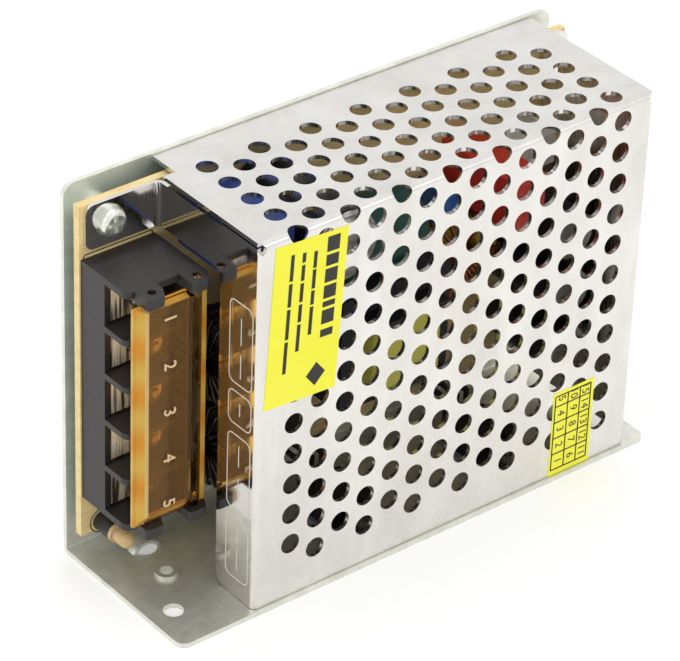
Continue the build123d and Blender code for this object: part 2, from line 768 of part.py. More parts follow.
# Clear lid: a shallow tray with bevelled sides round its panel, and a hinge pin at both ends
with BuildPart() as terminal_lid:
    block(lid_left, lid_right, lid_rim_face, lid_back, lid_bottom, lid_top)
    outer_levels = ((lid_rim_face, lid_foot_insets, 0), (lid_panel_face, lid_panel_insets, 0))
    inner_levels = ((lid_back, lid_foot_insets, lid_wall),
                    (lid_panel_face + lid_wall, lid_panel_insets, lid_panel_wall))
    for levels, action in ((outer_levels, Mode.ADD), (inner_levels, Mode.SUBTRACT)):
        for level, (inset_left, inset_right, inset_bottom, inset_top), wall in levels:
            with BuildSketch(Plane.XZ.offset(-level)):
                Polygon((lid_left + inset_left + wall, lid_bottom + inset_bottom + wall),
                        (lid_right - inset_right - wall, lid_bottom + inset_bottom + wall),
                        (lid_right - inset_right - wall, lid_top - inset_top - wall),
                        (lid_left + inset_left + wall, lid_top - inset_top - wall), align=None)
        loft(ruled=True, mode=action)
    for pin_z in (lid_bottom - pivot_reach, lid_top - pivot_root):
        bar((pivot_x, pivot_y, pin_z), (0, 0, 1), pivot_radius, pivot_reach + pivot_root)
terminal_lid.part.label = "terminal_lid"
export_step(terminal_lid.part, "parts/terminal_lid.step")

# Indicator lamp on its spacer
with BuildPart() as lamp_spacer:
    bar((lamp_x, board_face, lamp_z), (0, -1, 0), lamp_rim_radius, spacer_height)
    for lead_x in lamp_leads:
        bar((lead_x, board_face, lamp_z), (0, -1, 0), lead_hole_radius, spacer_height, Mode.SUBTRACT)
lamp_spacer.part.label = "lamp_spacer"
export_step(lamp_spacer.part, "parts/lamp_spacer.step")

with BuildPart() as lamp:
    rim_seat = board_face - spacer_height
    dome_seat = rim_seat - lamp_rim_height - lamp_body_height
    bar((lamp_x, rim_seat, lamp_z), (0, -1, 0), lamp_rim_radius, lamp_rim_height)
    bar((lamp_x, rim_seat, lamp_z), (0, -1, 0), lamp_radius, lamp_rim_height + lamp_body_height)
    with Locations((lamp_x, dome_seat, lamp_z)):
        Sphere(lamp_radius)
    for lead_x in lamp_leads:
        bar((lead_x, rim_seat, lamp_z), (0, 1, 0), lead_radius, board_back + lead_tail - rim_seat)
lamp.part.label = "lamp"
export_step(lamp.part, "parts/lamp.step")

# Output trimmer: housing and slotted rotor
with BuildPart() as trimmer_body:
    trimmer_y = board_face - trimmer_size / 2
    trimmer_z = trimmer_bottom + trimmer_size / 2
    block(trimmer_left, trimmer_left + trimmer_width, board_face - trimmer_size, board_face,
          trimmer_bottom, trimmer_bottom + trimmer_size)
    bar((trimmer_left, trimmer_y, trimmer_z), (1, 0, 0), rotor_radius + pivot_gap, rotor_depth,
        Mode.SUBTRACT)
trimmer_body.part.label = "trimmer_body"
export_step(trimmer_body.part, "parts/trimmer_body.step")

with BuildPart() as trimmer_rotor:
    rotor_face = trimmer_left - rotor_stand
    bar((rotor_face, trimmer_y, trimmer_z), (1, 0, 0), rotor_radius, rotor_stand + rotor_depth - pivot_gap)
    block(rotor_face, rotor_face + rotor_slot_depth, trimmer_y - rotor_slot / 2,
          trimmer_y + rotor_slot / 2, trimmer_z - rotor_radius, trimmer_z + rotor_radius, Mode.SUBTRACT)
    bar((rotor_face, trimmer_y, trimmer_z + rotor_radius), (1, 0, 0), rotor_pointer,
        rotor_slot_depth, Mode.SUBTRACT)
trimmer_rotor.part.label = "trimmer_rotor"
export_step(trimmer_rotor.part, "parts/trimmer_rotor.step")

# Line filter: film capacitor and two wound rings standing on edge
with BuildPart() as line_capacitor:
    block(line_cap_x, line_cap_x + line_cap_size[0], board_face - line_cap_size[1], board_face,
          line_cap_bottom, line_cap_bottom + line_cap_size[2])
    fillet(line_capacitor.edges().group_by(Axis.Y)[0], line_cap_round)
line_capacitor.part.label = "line_capacitor"
export_step(line_capacitor.part, "parts/line_capacitor.step")

with BuildPart() as upper_choke_core:
    ring_core((ring_x, ring_y, upper_ring_z))
upper_choke_core.part.label = "upper_choke_core"
export_step(upper_choke_core.part, "parts/upper_choke_core.step")

with BuildPart() as upper_choke_winding:
    ring_winding((ring_x, ring_y, upper_ring_z), (-1, 1))
upper_choke_winding.part.label = "upper_choke_winding"
export_step(upper_choke_winding.part, "parts/upper_choke_winding.step")

with BuildPart() as lower_choke_core:
    ring_core((ring_x, ring_y, lower_ring_z))
lower_choke_core.part.label = "lower_choke_core"
export_step(lower_choke_core.part, "parts/lower_choke_core.step")

with BuildPart() as lower_choke_winding:
    ring_winding((ring_x, ring_y, lower_ring_z), (-1, 1))
lower_choke_winding.part.label = "lower_choke_winding"
export_step(lower_choke_winding.part, "parts/lower_choke_winding.step")

# Electrolytic cans on the line side
with BuildPart() as input_capacitor:
    can((input_cap_center[0], board_face, input_cap_center[1]), (0, -1, 0), (1, 0, 0),
        input_cap_radius, input_cap_height)
input_capacitor.part.label = "input_capacitor"
export_step(input_capacitor.part, "parts/input_capacitor.step")

with BuildPart() as bulk_capacitor:
    can((bulk_cap_left, board_face - bulk_cap_radius - bulk_cap_lift, bulk_cap_z), (1, 0, 0), (0, 1, 0),
        bulk_cap_radius, bulk_cap_length)
    for lead_side in (-1, 1):
        lead_z = bulk_cap_z + lead_side * bulk_lead_pitch / 2
        lead_x = bulk_cap_left - bulk_lead_reach
        lead_y = board_face - bulk_cap_radius - bulk_cap_lift
        bar((lead_x - lead_radius, lead_y, lead_z), (1, 0, 0), lead_radius, bulk_lead_reach + lead_radius)
        bar((lead_x, lead_y - lead_radius, lead_z), (0, 1, 0), lead_radius,
            board_face - lead_y + lead_radius)
bulk_capacitor.part.label = "bulk_capacitor"
export_step(bulk_capacitor.part, "parts/bulk_capacitor.step")

# Bridge rectifier with one chamfered corner
with BuildPart() as bridge_rectifier:
    block(bridge_left, bridge_left + bridge_size[0], board_face - bridge_lift - bridge_size[1],
          board_face - bridge_lift, bridge_bottom, bridge_bottom + bridge_size[2])
    chamfer(bridge_rectifier.edges().filter_by(Axis.X).group_by(Axis.Y)[0].sort_by(Axis.Z)[-1],
            bridge_corner)
    for pin in range(bridge_pins):
        pin_z = bridge_bottom + (pin + 0.5) * bridge_size[2] / bridge_pins
        bar((bridge_left + bridge_size[0] / 2, board_face - bridge_lift, pin_z), (0, 1, 0),
            lead_radius, bridge_lift)
bridge_rectifier.part.label = "bridge_rectifier"
export_step(bridge_rectifier.part, "parts/bridge_rectifier.step")

# Fuse: glass tube, end caps and the two clips on the board
with BuildPart() as fuse_glass:
    bar((fuse_x, fuse_y, fuse_z - fuse_length / 2 + fuse_cap_wall), (0, 0, 1), fuse_radius - fuse_cap_wall,
        fuse_length - 2 * fuse_cap_wall)
    bar((fuse_x, fuse_y, fuse_z - fuse_length / 2 + fuse_cap_wall), (0, 0, 1),
        fuse_radius - fuse_cap_wall - fuse_glass_wall, fuse_length - 2 * fuse_cap_wall, Mode.SUBTRACT)
fuse_glass.part.label = "fuse_glass"
export_step(fuse_glass.part, "parts/fuse_glass.step")

with BuildPart() as fuse_caps:
    bar((fuse_x, fuse_y, fuse_z - fuse_length / 2), (0, 0, 1), fuse_radius, fuse_length)
    bar((fuse_x, fuse_y, fuse_z - fuse_length / 2 + fuse_cap_wall), (0, 0, 1), fuse_radius - fuse_cap_wall,
        fuse_length - 2 * fuse_cap_wall, Mode.SUBTRACT)
    middle = fuse_length / 2 - fuse_cap_length
    block(fuse_x - fuse_radius, fuse_x + fuse_radius, fuse_y - fuse_radius, fuse_y + fuse_radius,
          fuse_z - middle, fuse_z + middle, Mode.SUBTRACT)
fuse_caps.part.label = "fuse_caps"
export_step(fuse_caps.part, "parts/fuse_caps.step")

with BuildPart() as fuse_clips:
    for side in (-1, 1):
        clip_z = fuse_z + side * (fuse_length / 2 - fuse_cap_length / 2)
        block(fuse_x - fuse_radius - clip_sheet, fuse_x + fuse_radius + clip_sheet,
              fuse_y - fuse_radius / 2, board_face, clip_z - clip_width / 2, clip_z + clip_width / 2)
        block(fuse_x - fuse_radius, fuse_x + fuse_radius,
              fuse_y - fuse_radius / 2, board_face - clip_sheet, clip_z - clip_width / 2,
              clip_z + clip_width / 2, Mode.SUBTRACT)
fuse_clips.part.label = "fuse_clips"
export_step(fuse_clips.part, "parts/fuse_clips.step")

# Inrush thermistor and safety capacitor: coated discs on two leads
for label, disc_x, disc_z, disc_radius, disc_thickness in (
    ("thermistor", thermistor_x, thermistor_z, thermistor_radius, thermistor_thickness),
    ("safety_capacitor", safety_cap_x, safety_cap_z, safety_cap_radius, safety_cap_thickness),
):
    with BuildPart() as coated_disc:
        disc_y = board_face - disc_lift - disc_radius
        bar((disc_x - disc_thickness / 2, disc_y, disc_z), (1, 0, 0), disc_radius, disc_thickness)
        fillet(coated_disc.edges().filter_by(GeomType.CIRCLE), disc_round)
        for side in (-1, 1):
            bar((disc_x, disc_y, disc_z + side * disc_lead_pitch / 2), (0, 1, 0), lead_radius,
                board_face - disc_y)
    coated_disc.part.label = label
    export_step(coated_disc.part, f"parts/{label}.step")

# Controller and optocoupler
with BuildPart() as controller_chip:
    dual_in_line((chip_x, chip_z), chip_size, chip_pins)
controller_chip.part.label = "controller_chip"
export_step(controller_chip.part, "parts/controller_chip.step")

with BuildPart() as optocoupler:
    dual_in_line((coupler_x, coupler_z), coupler_size, coupler_pins)
optocoupler.part.label = "optocoupler"
export_step(optocoupler.part, "parts/optocoupler.step")

# Transformer: closed ferrite core, bobbin and taped winding round the middle leg
with BuildPart() as transformer_core:
    with Locations((core_center[0], core_y, core_center[1])):
        Box(core_width, core_thickness, core_length)
        window = (core_width - 2 * core_leg - core_middle) / 2
        for side in (-1, 1):
            with Locations((side * (core_middle + window) / 2, 0, 0)):
                Box(window, core_thickness, core_length - 2 * core_back, mode=Mode.SUBTRACT)
transformer_core.part.label = "transformer_core"
export_step(transformer_core.part, "parts/transformer_core.step")

with BuildPart() as transformer_bobbin:
    flange_height = core_length / 2 - core_back - seat_gap - bobbin_flange / 2
    with Locations((core_center[0], core_y, core_center[1])):
        Box(core_middle + 2 * (seat_gap + bobbin_wall), core_thickness + 2 * (seat_gap + bobbin_wall),
            2 * flange_height)
        for side in (-1, 1):
            with Locations((0, 0, side * flange_height)):
                Box(winding_width + bobbin_flange, winding_depth + bobbin_flange, bobbin_flange)
    foot_front = core_y + winding_depth / 2
    for side in (-1, 1):
        foot_z = core_center[1] + side * flange_height
        block(core_center[0] - core_width / 2, core_center[0] + core_width / 2, foot_front, board_face,
              foot_z - bobbin_base, foot_z + bobbin_base)
    with Locations((core_center[0], core_y, core_center[1])):
        Box(core_middle + 2 * seat_gap, core_thickness + 2 * seat_gap, core_length, mode=Mode.SUBTRACT)
transformer_bobbin.part.label = "transformer_bobbin"
export_step(transformer_bobbin.part, "parts/transformer_bobbin.step")

with BuildPart() as transformer_winding:
    coil_length = 2 * flange_height - bobbin_flange - 2 * seat_gap
    tube_width = core_middle + 2 * (2 * seat_gap + bobbin_wall)
    tube_depth = core_thickness + 2 * (2 * seat_gap + bobbin_wall)
    with BuildSketch(Plane(origin=(core_center[0], core_y, core_center[1] - coil_length / 2),
                           x_dir=(1, 0, 0), z_dir=(0, 0, 1))):
        RectangleRounded(winding_width, winding_depth, winding_round)
        Rectangle(tube_width, tube_depth, mode=Mode.SUBTRACT)
    extrude(amount=coil_length)
transformer_winding.part.label = "transformer_winding"
export_step(transformer_winding.part, "parts/transformer_winding.step")

# Output side: wound ring, three electrolytic cans, film capacitor and load resistor
with BuildPart() as output_choke_core:
    with BuildSketch(Plane(origin=(output_ring_x, output_ring_y, output_ring_z), x_dir=(1, 0, 0),
                           z_dir=(0, -1, 0))):
        Circle(output_ring_center_radius + ring_core_half)
        Circle(output_ring_center_radius - ring_core_half, mode=Mode.SUBTRACT)
    extrude(amount=ring_core_width / 2, both=True)
output_choke_core.part.label = "output_choke_core"
export_step(output_choke_core.part, "parts/output_choke_core.step")

with BuildPart() as output_choke_winding:
    flat_ring = (output_ring_x, output_ring_y, output_ring_z)
    with BuildSketch(Plane(origin=flat_ring, x_dir=(1, 0, 0), z_dir=(0, 0, 1))):
        with Locations((output_ring_center_radius, 0)):
            RectangleRounded(2 * (ring_core_half + ring_wall + ring_wire),
                             ring_core_width + 2 * (ring_wall + ring_wire), ring_wire)
            Rectangle(2 * (ring_core_half + ring_wall), ring_core_width + 2 * ring_wall,
                      mode=Mode.SUBTRACT)
    revolve(axis=Axis(flat_ring, (0, 1, 0)), revolution_arc=output_ring_span)
output_choke_winding.part.label = "output_choke_winding"
export_step(output_choke_winding.part, "parts/output_choke_winding.step")

with BuildPart() as output_capacitors:
    for cap_z in output_cap_rows:
        can((output_cap_x, board_face, cap_z), (0, -1, 0), (1, 0, 0), output_cap_radius, output_cap_height)
output_capacitors.part.label = "output_capacitors"
export_step(output_capacitors.part, "parts/output_capacitors.step")

with BuildPart() as film_capacitor:
    block(film_cap_left, film_cap_left + film_cap_size[0], board_face - film_cap_size[1], board_face,
          film_cap_bottom, film_cap_bottom + film_cap_size[2])
    fillet(film_capacitor.edges().group_by(Axis.Y)[0], film_cap_round)
film_capacitor.part.label = "film_capacitor"
export_step(film_capacitor.part, "parts/film_capacitor.step")

with BuildPart() as load_resistor:
    block(load_resistor_left, load_resistor_left + load_resistor_size[0],
          board_face - load_resistor_size[1], board_face,
          load_resistor_bottom, load_resistor_bottom + load_resistor_size[2])
load_resistor.part.label = "load_resistor"
export_step(load_resistor.part, "parts/load_resistor.step")

# Axial resistors lying just above the board
with BuildPart() as resistors:
    body_y = board_face - resistor_lift
    for row_z in resistor_rows:
        bar((resistor_left, body_y, row_z), (1, 0, 0), resistor_radius, resistor_length)
        bar((resistor_left - resistor_lead_reach - lead_radius, body_y, row_z), (1, 0, 0), lead_radius,
            resistor_length + 2 * (resistor_lead_reach + lead_radius))
        for end_x in (resistor_left - resistor_lead_reach,
                      resistor_left + resistor_length + resistor_lead_reach):
            bar((end_x, body_y - lead_radius, row_z), (0, 1, 0), lead_radius,
                resistor_lift + lead_radius)
resistors.part.label = "resistors"
export_step(resistors.part, "parts/resistors.step")

# Power semiconductors on insulating pads, screwed to the flange
with BuildPart() as insulating_pads:
    for package_x in (switch_x, rectifier_x):
        block(package_x - package_width / 2 - pad_margin, package_x + package_width / 2 + pad_margin,
              package_front - pad_margin, package_front + package_length + pad_margin,
              flange_top, flange_top + pad_thickness)
        bar((package_x, package_front + package_tab_length / 2, flange_top), (0, 0, 1),
            package_hole_radius, pad_thickness, Mode.SUBTRACT)
insulating_pads.part.label = "insulating_pads"
export_step(insulating_pads.part, "parts/insulating_pads.step")

for label, package_x in (("power_switch", switch_x), ("output_rectifier", rectifier_x)):
    with BuildPart() as tab_package:
        power_package(package_x)
    tab_package.part.label = label
    export_step(tab_package.part, f"parts/{label}.step")

with BuildPart() as package_screws:
    tab_face = flange_top + pad_thickness + package_tab
    for package_x in (switch_x, rectifier_x):
        with Locations((package_x, package_front + package_tab_length / 2, tab_face)):
            Cylinder(package_head_radius, package_head_height,
                     align=(Align.CENTER, Align.CENTER, Align.MIN))
            Cylinder(shank_radius, tab_face, align=(Align.CENTER, Align.CENTER, Align.MAX))
package_screws.part.label = "package_screws"
export_step(package_screws.part, "parts/package_screws.step")
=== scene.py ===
"""Looks for the enclosed power supply: metal, plastics, print, windings, studio and camera."""

import math

import bmesh
import bpy
from mathutils import Matrix, Vector


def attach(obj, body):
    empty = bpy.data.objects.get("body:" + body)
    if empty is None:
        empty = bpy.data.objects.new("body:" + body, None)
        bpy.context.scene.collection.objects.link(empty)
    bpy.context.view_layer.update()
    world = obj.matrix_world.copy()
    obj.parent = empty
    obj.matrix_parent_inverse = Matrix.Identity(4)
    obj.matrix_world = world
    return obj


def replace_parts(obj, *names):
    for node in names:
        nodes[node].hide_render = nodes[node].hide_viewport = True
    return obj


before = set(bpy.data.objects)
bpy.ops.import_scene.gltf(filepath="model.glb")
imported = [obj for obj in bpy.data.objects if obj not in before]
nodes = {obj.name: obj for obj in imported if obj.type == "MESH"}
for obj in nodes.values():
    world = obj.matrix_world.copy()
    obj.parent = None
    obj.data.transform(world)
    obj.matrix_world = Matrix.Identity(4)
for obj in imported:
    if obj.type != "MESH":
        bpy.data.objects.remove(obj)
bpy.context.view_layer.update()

MM = 0.001

# Places on the supply, in millimetres, as the solids have them
COVER_LEFT, WALL_EDGE = -38.8, -37.9
COVER_FRONT = -17.4
COVER_BOTTOM = 1.1
LABEL_THICKNESS = 0.1
INK = 0.03
CAUTION_CENTRE, CAUTION_TURN = (-28.9, 59.4), 3.2
RECORD_LEFT = 30.7
RECORD_COLUMN_LINES = (0.5, 3.6, 6.6, 9.2)
RECORD_ROW_LINES = (1.2, 4.8, 8.4, 12.0, 15.6, 17.9)
RECORD_NUMERAL_ROWS = (3.0, 6.6, 10.2, 13.8, 17.1)
RECORD_NUMERAL_SIZE = 2.5
STRIP_PRINT = (9.0, 15.6)
STRIP_DASH = 12.2
WAY_CENTRES = [59.8, 50.1, 40.4, 30.7, 21.0]
LID_FACE = -4.2
LID_PANEL = (-52.8, -43.1)
LID_FLAT_END = -43.7
LID_CORNER_LINE = (-52.95, -52.25)
LID_RIB = -40.2
LID_NUMERAL_SIZE, LID_NUMERAL_SUNK, LID_NUMERAL_THICKNESS = 3.6, 0.05, 0.25
BOARD_FACE = 12.4
BLOCK_MARK = (-54.2, -39.4, 14.6, 66.2)
LAMP_MARK, LAMP_MARK_RADIUS = (-50.5, 8.5), 2.6
SOLDER_JOINTS = [(-52.6, 70.4), (-44.6, 73.4), (-42.4, 69.6), (-46.4, 8.4), (-43.6, 9.6), (-41.2, 8.2)]
SOLDER_RADIUS, SOLDER_SUNK = 0.7, 0.05
INPUT_CAN_SLEEVE, BULK_CAN_SLEEVE, OUTPUT_CAN_SLEEVE = -12.0, 10.6, -7.1
RESISTOR_ENDS = (15.0, 22.0)
RING_X, RING_Y = -31.6, 3.3
RING_RADIUS, RING_HALF, RING_WIDTH = 5.65, 2.1, 5.0
OUTPUT_RING, OUTPUT_RADIUS = (27.0, 39.0), 6.4
OUTPUT_START_ANGLE, OUTPUT_WOUND_ANGLE, OUTPUT_TURNS = 63, 294, 25
RING_WALL, RING_WIRE = 0.15, 0.9
CHOKE_CENTRES = {"upper": 42.0, "lower": 23.9}
CHOKE_HALF_TURNS, CHOKE_HALF_ANGLE = 10, 150
CHOKE_LEAD_ANGLE = 25


def srgb(code):
    """Hex colour as linear light."""
    parts = [int(code[place:place + 2], 16) / 255 for place in (1, 3, 5)]
    return [c / 12.92 if c <= 0.04045 else ((c + 0.055) / 1.055) ** 2.4 for c in parts] + [1.0]


def add(tree, kind, inputs=None, **settings):
    """Adds one node; inputs maps a socket's name or number to a value or to another socket."""
    node = tree.nodes.new(kind)
    for name, value in settings.items():
        setattr(node, name, value)
    for key, value in (inputs or {}).items():
        if isinstance(value, bpy.types.NodeSocket):
            tree.links.new(value, node.inputs[key])
        else:
            node.inputs[key].default_value = value
    return node


def new_material(name, colour, roughness, metallic=0.0, **sockets):
    """Material whose even values stand on the shader itself."""
    material = bpy.data.materials.new(name)
    material.use_nodes = True
    shader = material.node_tree.nodes["Principled BSDF"]
    shader.inputs["Base Color"].default_value = srgb(colour)
    shader.inputs["Roughness"].default_value = roughness
    shader.inputs["Metallic"].default_value = metallic
    for key, value in sockets.items():
        shader.inputs[key.replace("_", " ")].default_value = value
    return material, material.node_tree, shader


def stretched_noise(tree, scale, stretch, detail=3.0, roughness=0.5):
    """Noise on the piece's own coordinates, in cycles a metre along each axis."""
    place = add(tree, "ShaderNodeTexCoord")
    mapping = add(tree, "ShaderNodeMapping", {"Vector": place.outputs["Object"], "Scale": stretch})
    return add(tree, "ShaderNodeTexNoise", {"Vector": mapping.outputs["Vector"], "Scale": scale,
                                            "Detail": detail, "Roughness": roughness})


def ramped(tree, factor, low, high, near, far):
    """Colour that runs between two hex colours along a factor."""
    ramp = add(tree, "ShaderNodeValToRGB", {"Fac": factor})
    ramp.color_ramp.elements[0].position = near
    ramp.color_ramp.elements[0].color = srgb(low)
    ramp.color_ramp.elements[1].position = far
    ramp.color_ramp.elements[1].color = srgb(high)
    return ramp.outputs["Color"]


def tint(tree, shader, factor, low, high, near=0.35, far=0.65):
    """Runs the base colour between two hex colours along a factor."""
    tree.links.new(ramped(tree, factor, low, high, near, far), shader.inputs["Base Color"])


def colour_mix(tree, factor, first, second):
    """Colour between two colours, each a hex code or a socket."""
    first, second = [srgb(colour) if isinstance(colour, str) else colour for colour in (first, second)]
    mix = add(tree, "ShaderNodeMix", {"Factor": factor, "A": first, "B": second}, data_type="RGBA")
    return mix.outputs["Result"]


def spread(tree, factor, low, high):
    """Value that runs between two values along a noise pattern."""
    span = add(tree, "ShaderNodeMapRange", {"Value": factor, "From Min": 0.3, "From Max": 0.7,
                                            "To Min": low, "To Max": high})
    return span.outputs["Result"]


def vary_roughness(tree, shader, factor, low, high):
    """Runs the roughness between two values along a factor."""
    tree.links.new(spread(tree, factor, low, high), shader.inputs["Roughness"])


def raise_surface(tree, shader, height, strength, depth_mm):
    """Bump from a height pattern, its depth in millimetres."""
    bump = add(tree, "ShaderNodeBump", {"Height": height, "Strength": strength, "Distance": depth_mm * MM})
    tree.links.new(bump.outputs["Normal"], shader.inputs["Normal"])


def maths(tree, operation, *values):
    """Result of one sum on values or sockets."""
    return add(tree, "ShaderNodeMath", dict(enumerate(values)), operation=operation).outputs["Value"]


def along(tree, axis, space="Object"):
    """The piece's own coordinate along an axis, or that part of its normal."""
    place = add(tree, "ShaderNodeTexCoord")
    return add(tree, "ShaderNodeSeparateXYZ", {"Vector": place.outputs[space]}).outputs[axis]


def above(tree, axis, level_mm):
    """1 where the piece's own coordinate along an axis is above a level."""
    return maths(tree, "GREATER_THAN", along(tree, axis), level_mm * MM)


def below(tree, axis, level_mm):
    """1 where the piece's own coordinate along an axis is below a level."""
    return maths(tree, "LESS_THAN", along(tree, axis), level_mm * MM)


# Galvanised steel, cold rolled: faint spangle 3 mm wide and a soft, slightly green grey shine.
def galvanised_sheet():
    material, tree, shader = new_material("galvanised_steel_rolled", "#e0e0d6", 0.42, 0.72)
    spangle = stretched_noise(tree, 330.0, (1.0, 1.0, 1.0), 4.0, 0.6)
    tint(tree, shader, spangle.outputs["Fac"], "#d9dacf", "#e8e8df")
    grain = stretched_noise(tree, 1400.0, (0.3, 1.0, 1.0), 2.0)
    vary_roughness(tree, shader, grain.outputs["Fac"], 0.36, 0.46)
    raise_surface(tree, shader, grain.outputs["Fac"], 0.05, 0.02)
    return material


# Aluminium sheet, rolled: nearly white with fine grain lines 0.7 mm apart; the folded end wall and its
# tab keep the bright side of the sheet and mirror the terminals.
def rolled_cover():
    material, tree, shader = new_material("aluminium_sheet_bright_rolled", "#e0dedb", 0.24, 1.0)
    cloud = stretched_noise(tree, 90.0, (1.0, 1.0, 0.5), 5.0, 0.65)
    tint(tree, shader, cloud.outputs["Fac"], "#d8d5d1", "#e6e4e0")
    grain = stretched_noise(tree, 1400.0, (1.0, 1.0, 0.05), 3.0)
    bright = spread(tree, grain.outputs["Fac"], 0.05, 0.11)
    satin = spread(tree, grain.outputs["Fac"], 0.20, 0.32)
    finish = add(tree, "ShaderNodeMix", {"Factor": above(tree, "X", WALL_EDGE), "A": bright, "B": satin})
    tree.links.new(finish.outputs["Result"], shader.inputs["Roughness"])
    raise_surface(tree, shader, grain.outputs["Fac"], 0.10, 0.02)
    return material


# Phenolic paper laminate, pressed: cream with short brown fibres, green solder resist on the copper side.
def phenolic_board():
    material, tree, shader = new_material("phenolic_paper_laminate", "#d6c393", 0.45, Specular_IOR_Level=0.45)
    fibre = stretched_noise(tree, 700.0, (0.3, 1.0, 1.0), 5.0, 0.6)
    paper = ramped(tree, fibre.outputs["Fac"], "#dcbe7c", "#f4dfa6", 0.25, 0.75)
    tracks = stretched_noise(tree, 120.0, (1.0, 1.0, 1.0), 1.0)
    resist = colour_mix(tree, tracks.outputs["Fac"], "#bcd8c8", "#dbebe1")
    rear = maths(tree, "GREATER_THAN", along(tree, "Y", "Normal"), 0.5)
    tree.links.new(colour_mix(tree, rear, paper, resist), shader.inputs["Base Color"])
    raise_surface(tree, shader, fibre.outputs["Fac"], 0.08, 0.02)
    return material


# Steel fastener, nickel plated and tumbled: bright with fine soft scratches.
def nickel_steel(name="steel_nickel_plated", colour="#cfccc6"):
    material, tree, shader = new_material(name, colour, 0.24, 1.0)
    scratch = stretched_noise(tree, 1800.0, (1.0, 1.0, 0.3), 3.0)
    vary_roughness(tree, shader, scratch.outputs["Fac"], 0.18, 0.34)
    raise_surface(tree, shader, scratch.outputs["Fac"], 0.06, 0.01)
    return material


# Steel screws, clear zinc plated: pale, faintly green and soft.
def zinc_steel():
    material, tree, shader = new_material("steel_zinc_plated_clear", "#dfe3da", 0.26, 0.9)
    bloom = stretched_noise(tree, 1100.0, (1.0, 1.0, 1.0), 3.0)
    tint(tree, shader, bloom.outputs["Fac"], "#d9ddd4", "#e8ebe3")
    vary_roughness(tree, shader, bloom.outputs["Fac"], 0.20, 0.32)
    raise_surface(tree, shader, bloom.outputs["Fac"], 0.05, 0.01)
    return material


# Brass stamping, dull tin plated: upright serrations 0.8 mm apart, with a painted highlight on their tops and
# painted shade in the grooves between them.
def tinned_brass():
    material, tree, shader = new_material("brass_dull_tin_plated", "#f6f2e8", 0.38, 0.7)
    teeth_and_painted_shade = stretched_noise(tree, 1250.0, (1.0, 1.0, 0.06), 1.0)
    # base colour: painted highlight on the serration tops and painted shade in the grooves between them
    tint(tree, shader, teeth_and_painted_shade.outputs["Fac"], "#6d6455", "#fffdf6", 0.38, 0.5)
    vary_roughness(tree, shader, teeth_and_painted_shade.outputs["Fac"], 0.30, 0.46)
    raise_surface(tree, shader, teeth_and_painted_shade.outputs["Fac"], 0.4, 0.08)
    return material


# Moulded thermoplastic with the tool's fine spark-eroded texture, 0.4 mm grain.
def moulded_plastic(name, colour, light, roughness=0.42, specular=0.5):
    material, tree, shader = new_material(name, colour, roughness, Specular_IOR_Level=specular)
    texture = stretched_noise(tree, 2500.0, (1.0, 1.0, 1.0), 2.0)
    tint(tree, shader, texture.outputs["Fac"], colour, light)
    raise_surface(tree, shader, texture.outputs["Fac"], 0.10, 0.02)
    return material


# Amber polycarbonate, injection moulded: a clear panel; the long bevel by the terminals, the rib by the hinge
# and the cut edges glow because they gather the light that runs inside the sheet;
# here they are hazier, less clear amber with painted light, brighter at each terminal, and a painted
# highlight along the bevel's corner line.
def amber_lid():
    material, tree, shader = new_material("polycarbonate_amber_moulded", "#f3c070", 0.06, IOR=1.58,
                                          Specular_IOR_Level=0.25, Specular_Tint=srgb("#ffc266"))
    slanted = maths(tree, "LESS_THAN", maths(tree, "ABSOLUTE", along(tree, "Y", "Normal")), 0.97)
    bevel = maths(tree, "MULTIPLY", slanted, below(tree, "X", LID_FLAT_END))
    corner_end = below(tree, "X", LID_CORNER_LINE[1])
    glow = maths(tree, "MAXIMUM", maths(tree, "MAXIMUM", bevel, corner_end), above(tree, "X", LID_RIB))

    flow = stretched_noise(tree, 60.0, (1.0, 1.0, 0.2), 3.0)
    clear = colour_mix(tree, flow.outputs["Fac"], "#f6ba52", "#ffd078")
    turn = 2 * math.pi / ((WAY_CENTRES[0] - WAY_CENTRES[1]) * MM)
    phase = maths(tree, "MULTIPLY_ADD", along(tree, "Z"), turn, -turn * WAY_CENTRES[0] * MM)
    # painted light: the edge colour is brighter at each terminal's cell and darker between them
    painted_terminal_light = add(tree, "ShaderNodeMapRange", {"Value": maths(tree, "COSINE", phase), "From Min": -1.0})
    edge_with_painted_light = colour_mix(tree, painted_terminal_light.outputs["Result"], "#f8b042", "#ffd870")
    # painted highlight: a pale strip along the bevel's corner line
    corner = maths(tree, "MULTIPLY", above(tree, "X", LID_CORNER_LINE[0]), corner_end)
    edge_with_painted_light = colour_mix(tree, corner, edge_with_painted_light, "#ffe29a")
    tree.links.new(colour_mix(tree, glow, clear, edge_with_painted_light), shader.inputs["Base Color"])

    passing = add(tree, "ShaderNodeMapRange", {"Value": glow, "To Min": 1.0, "To Max": 0.5})
    tree.links.new(passing.outputs["Result"], shader.inputs["Transmission Weight"])
    haze = add(tree, "ShaderNodeMapRange", {"Value": glow, "To Min": 0.05, "To Max": 0.25})
    tree.links.new(haze.outputs["Result"], shader.inputs["Roughness"])
    raise_surface(tree, shader, flow.outputs["Fac"], 0.05, 0.02)
    return material


# Glossy coated or sleeved surface with slow unevenness, as dipped epoxy, PVC sleeve or tape has.
def glossy_skin(name, colour, light, roughness=0.28, scale=160.0):
    material, tree, shader = new_material(name, colour, roughness, Specular_IOR_Level=0.5)
    wave = stretched_noise(tree, scale, (1.0, 1.0, 1.0), 3.0)
    tint(tree, shader, wave.outputs["Fac"], colour, light)
    raise_surface(tree, shader, wave.outputs["Fac"], 0.15, 0.05)
    return material


# Ferrite, sintered: dark matt grey with a fine mineral grain.
def sintered_ferrite(name="ferrite_sintered", colour="#26262a", light="#3a3a3e"):
    material, tree, shader = new_material(name, colour, 0.62, Specular_IOR_Level=0.4)
    grit = stretched_noise(tree, 1500.0, (1.0, 1.0, 1.0), 5.0, 0.7)
    tint(tree, shader, grit.outputs["Fac"], colour, light)
    raise_surface(tree, shader, grit.outputs["Fac"], 0.2, 0.03)
    return material


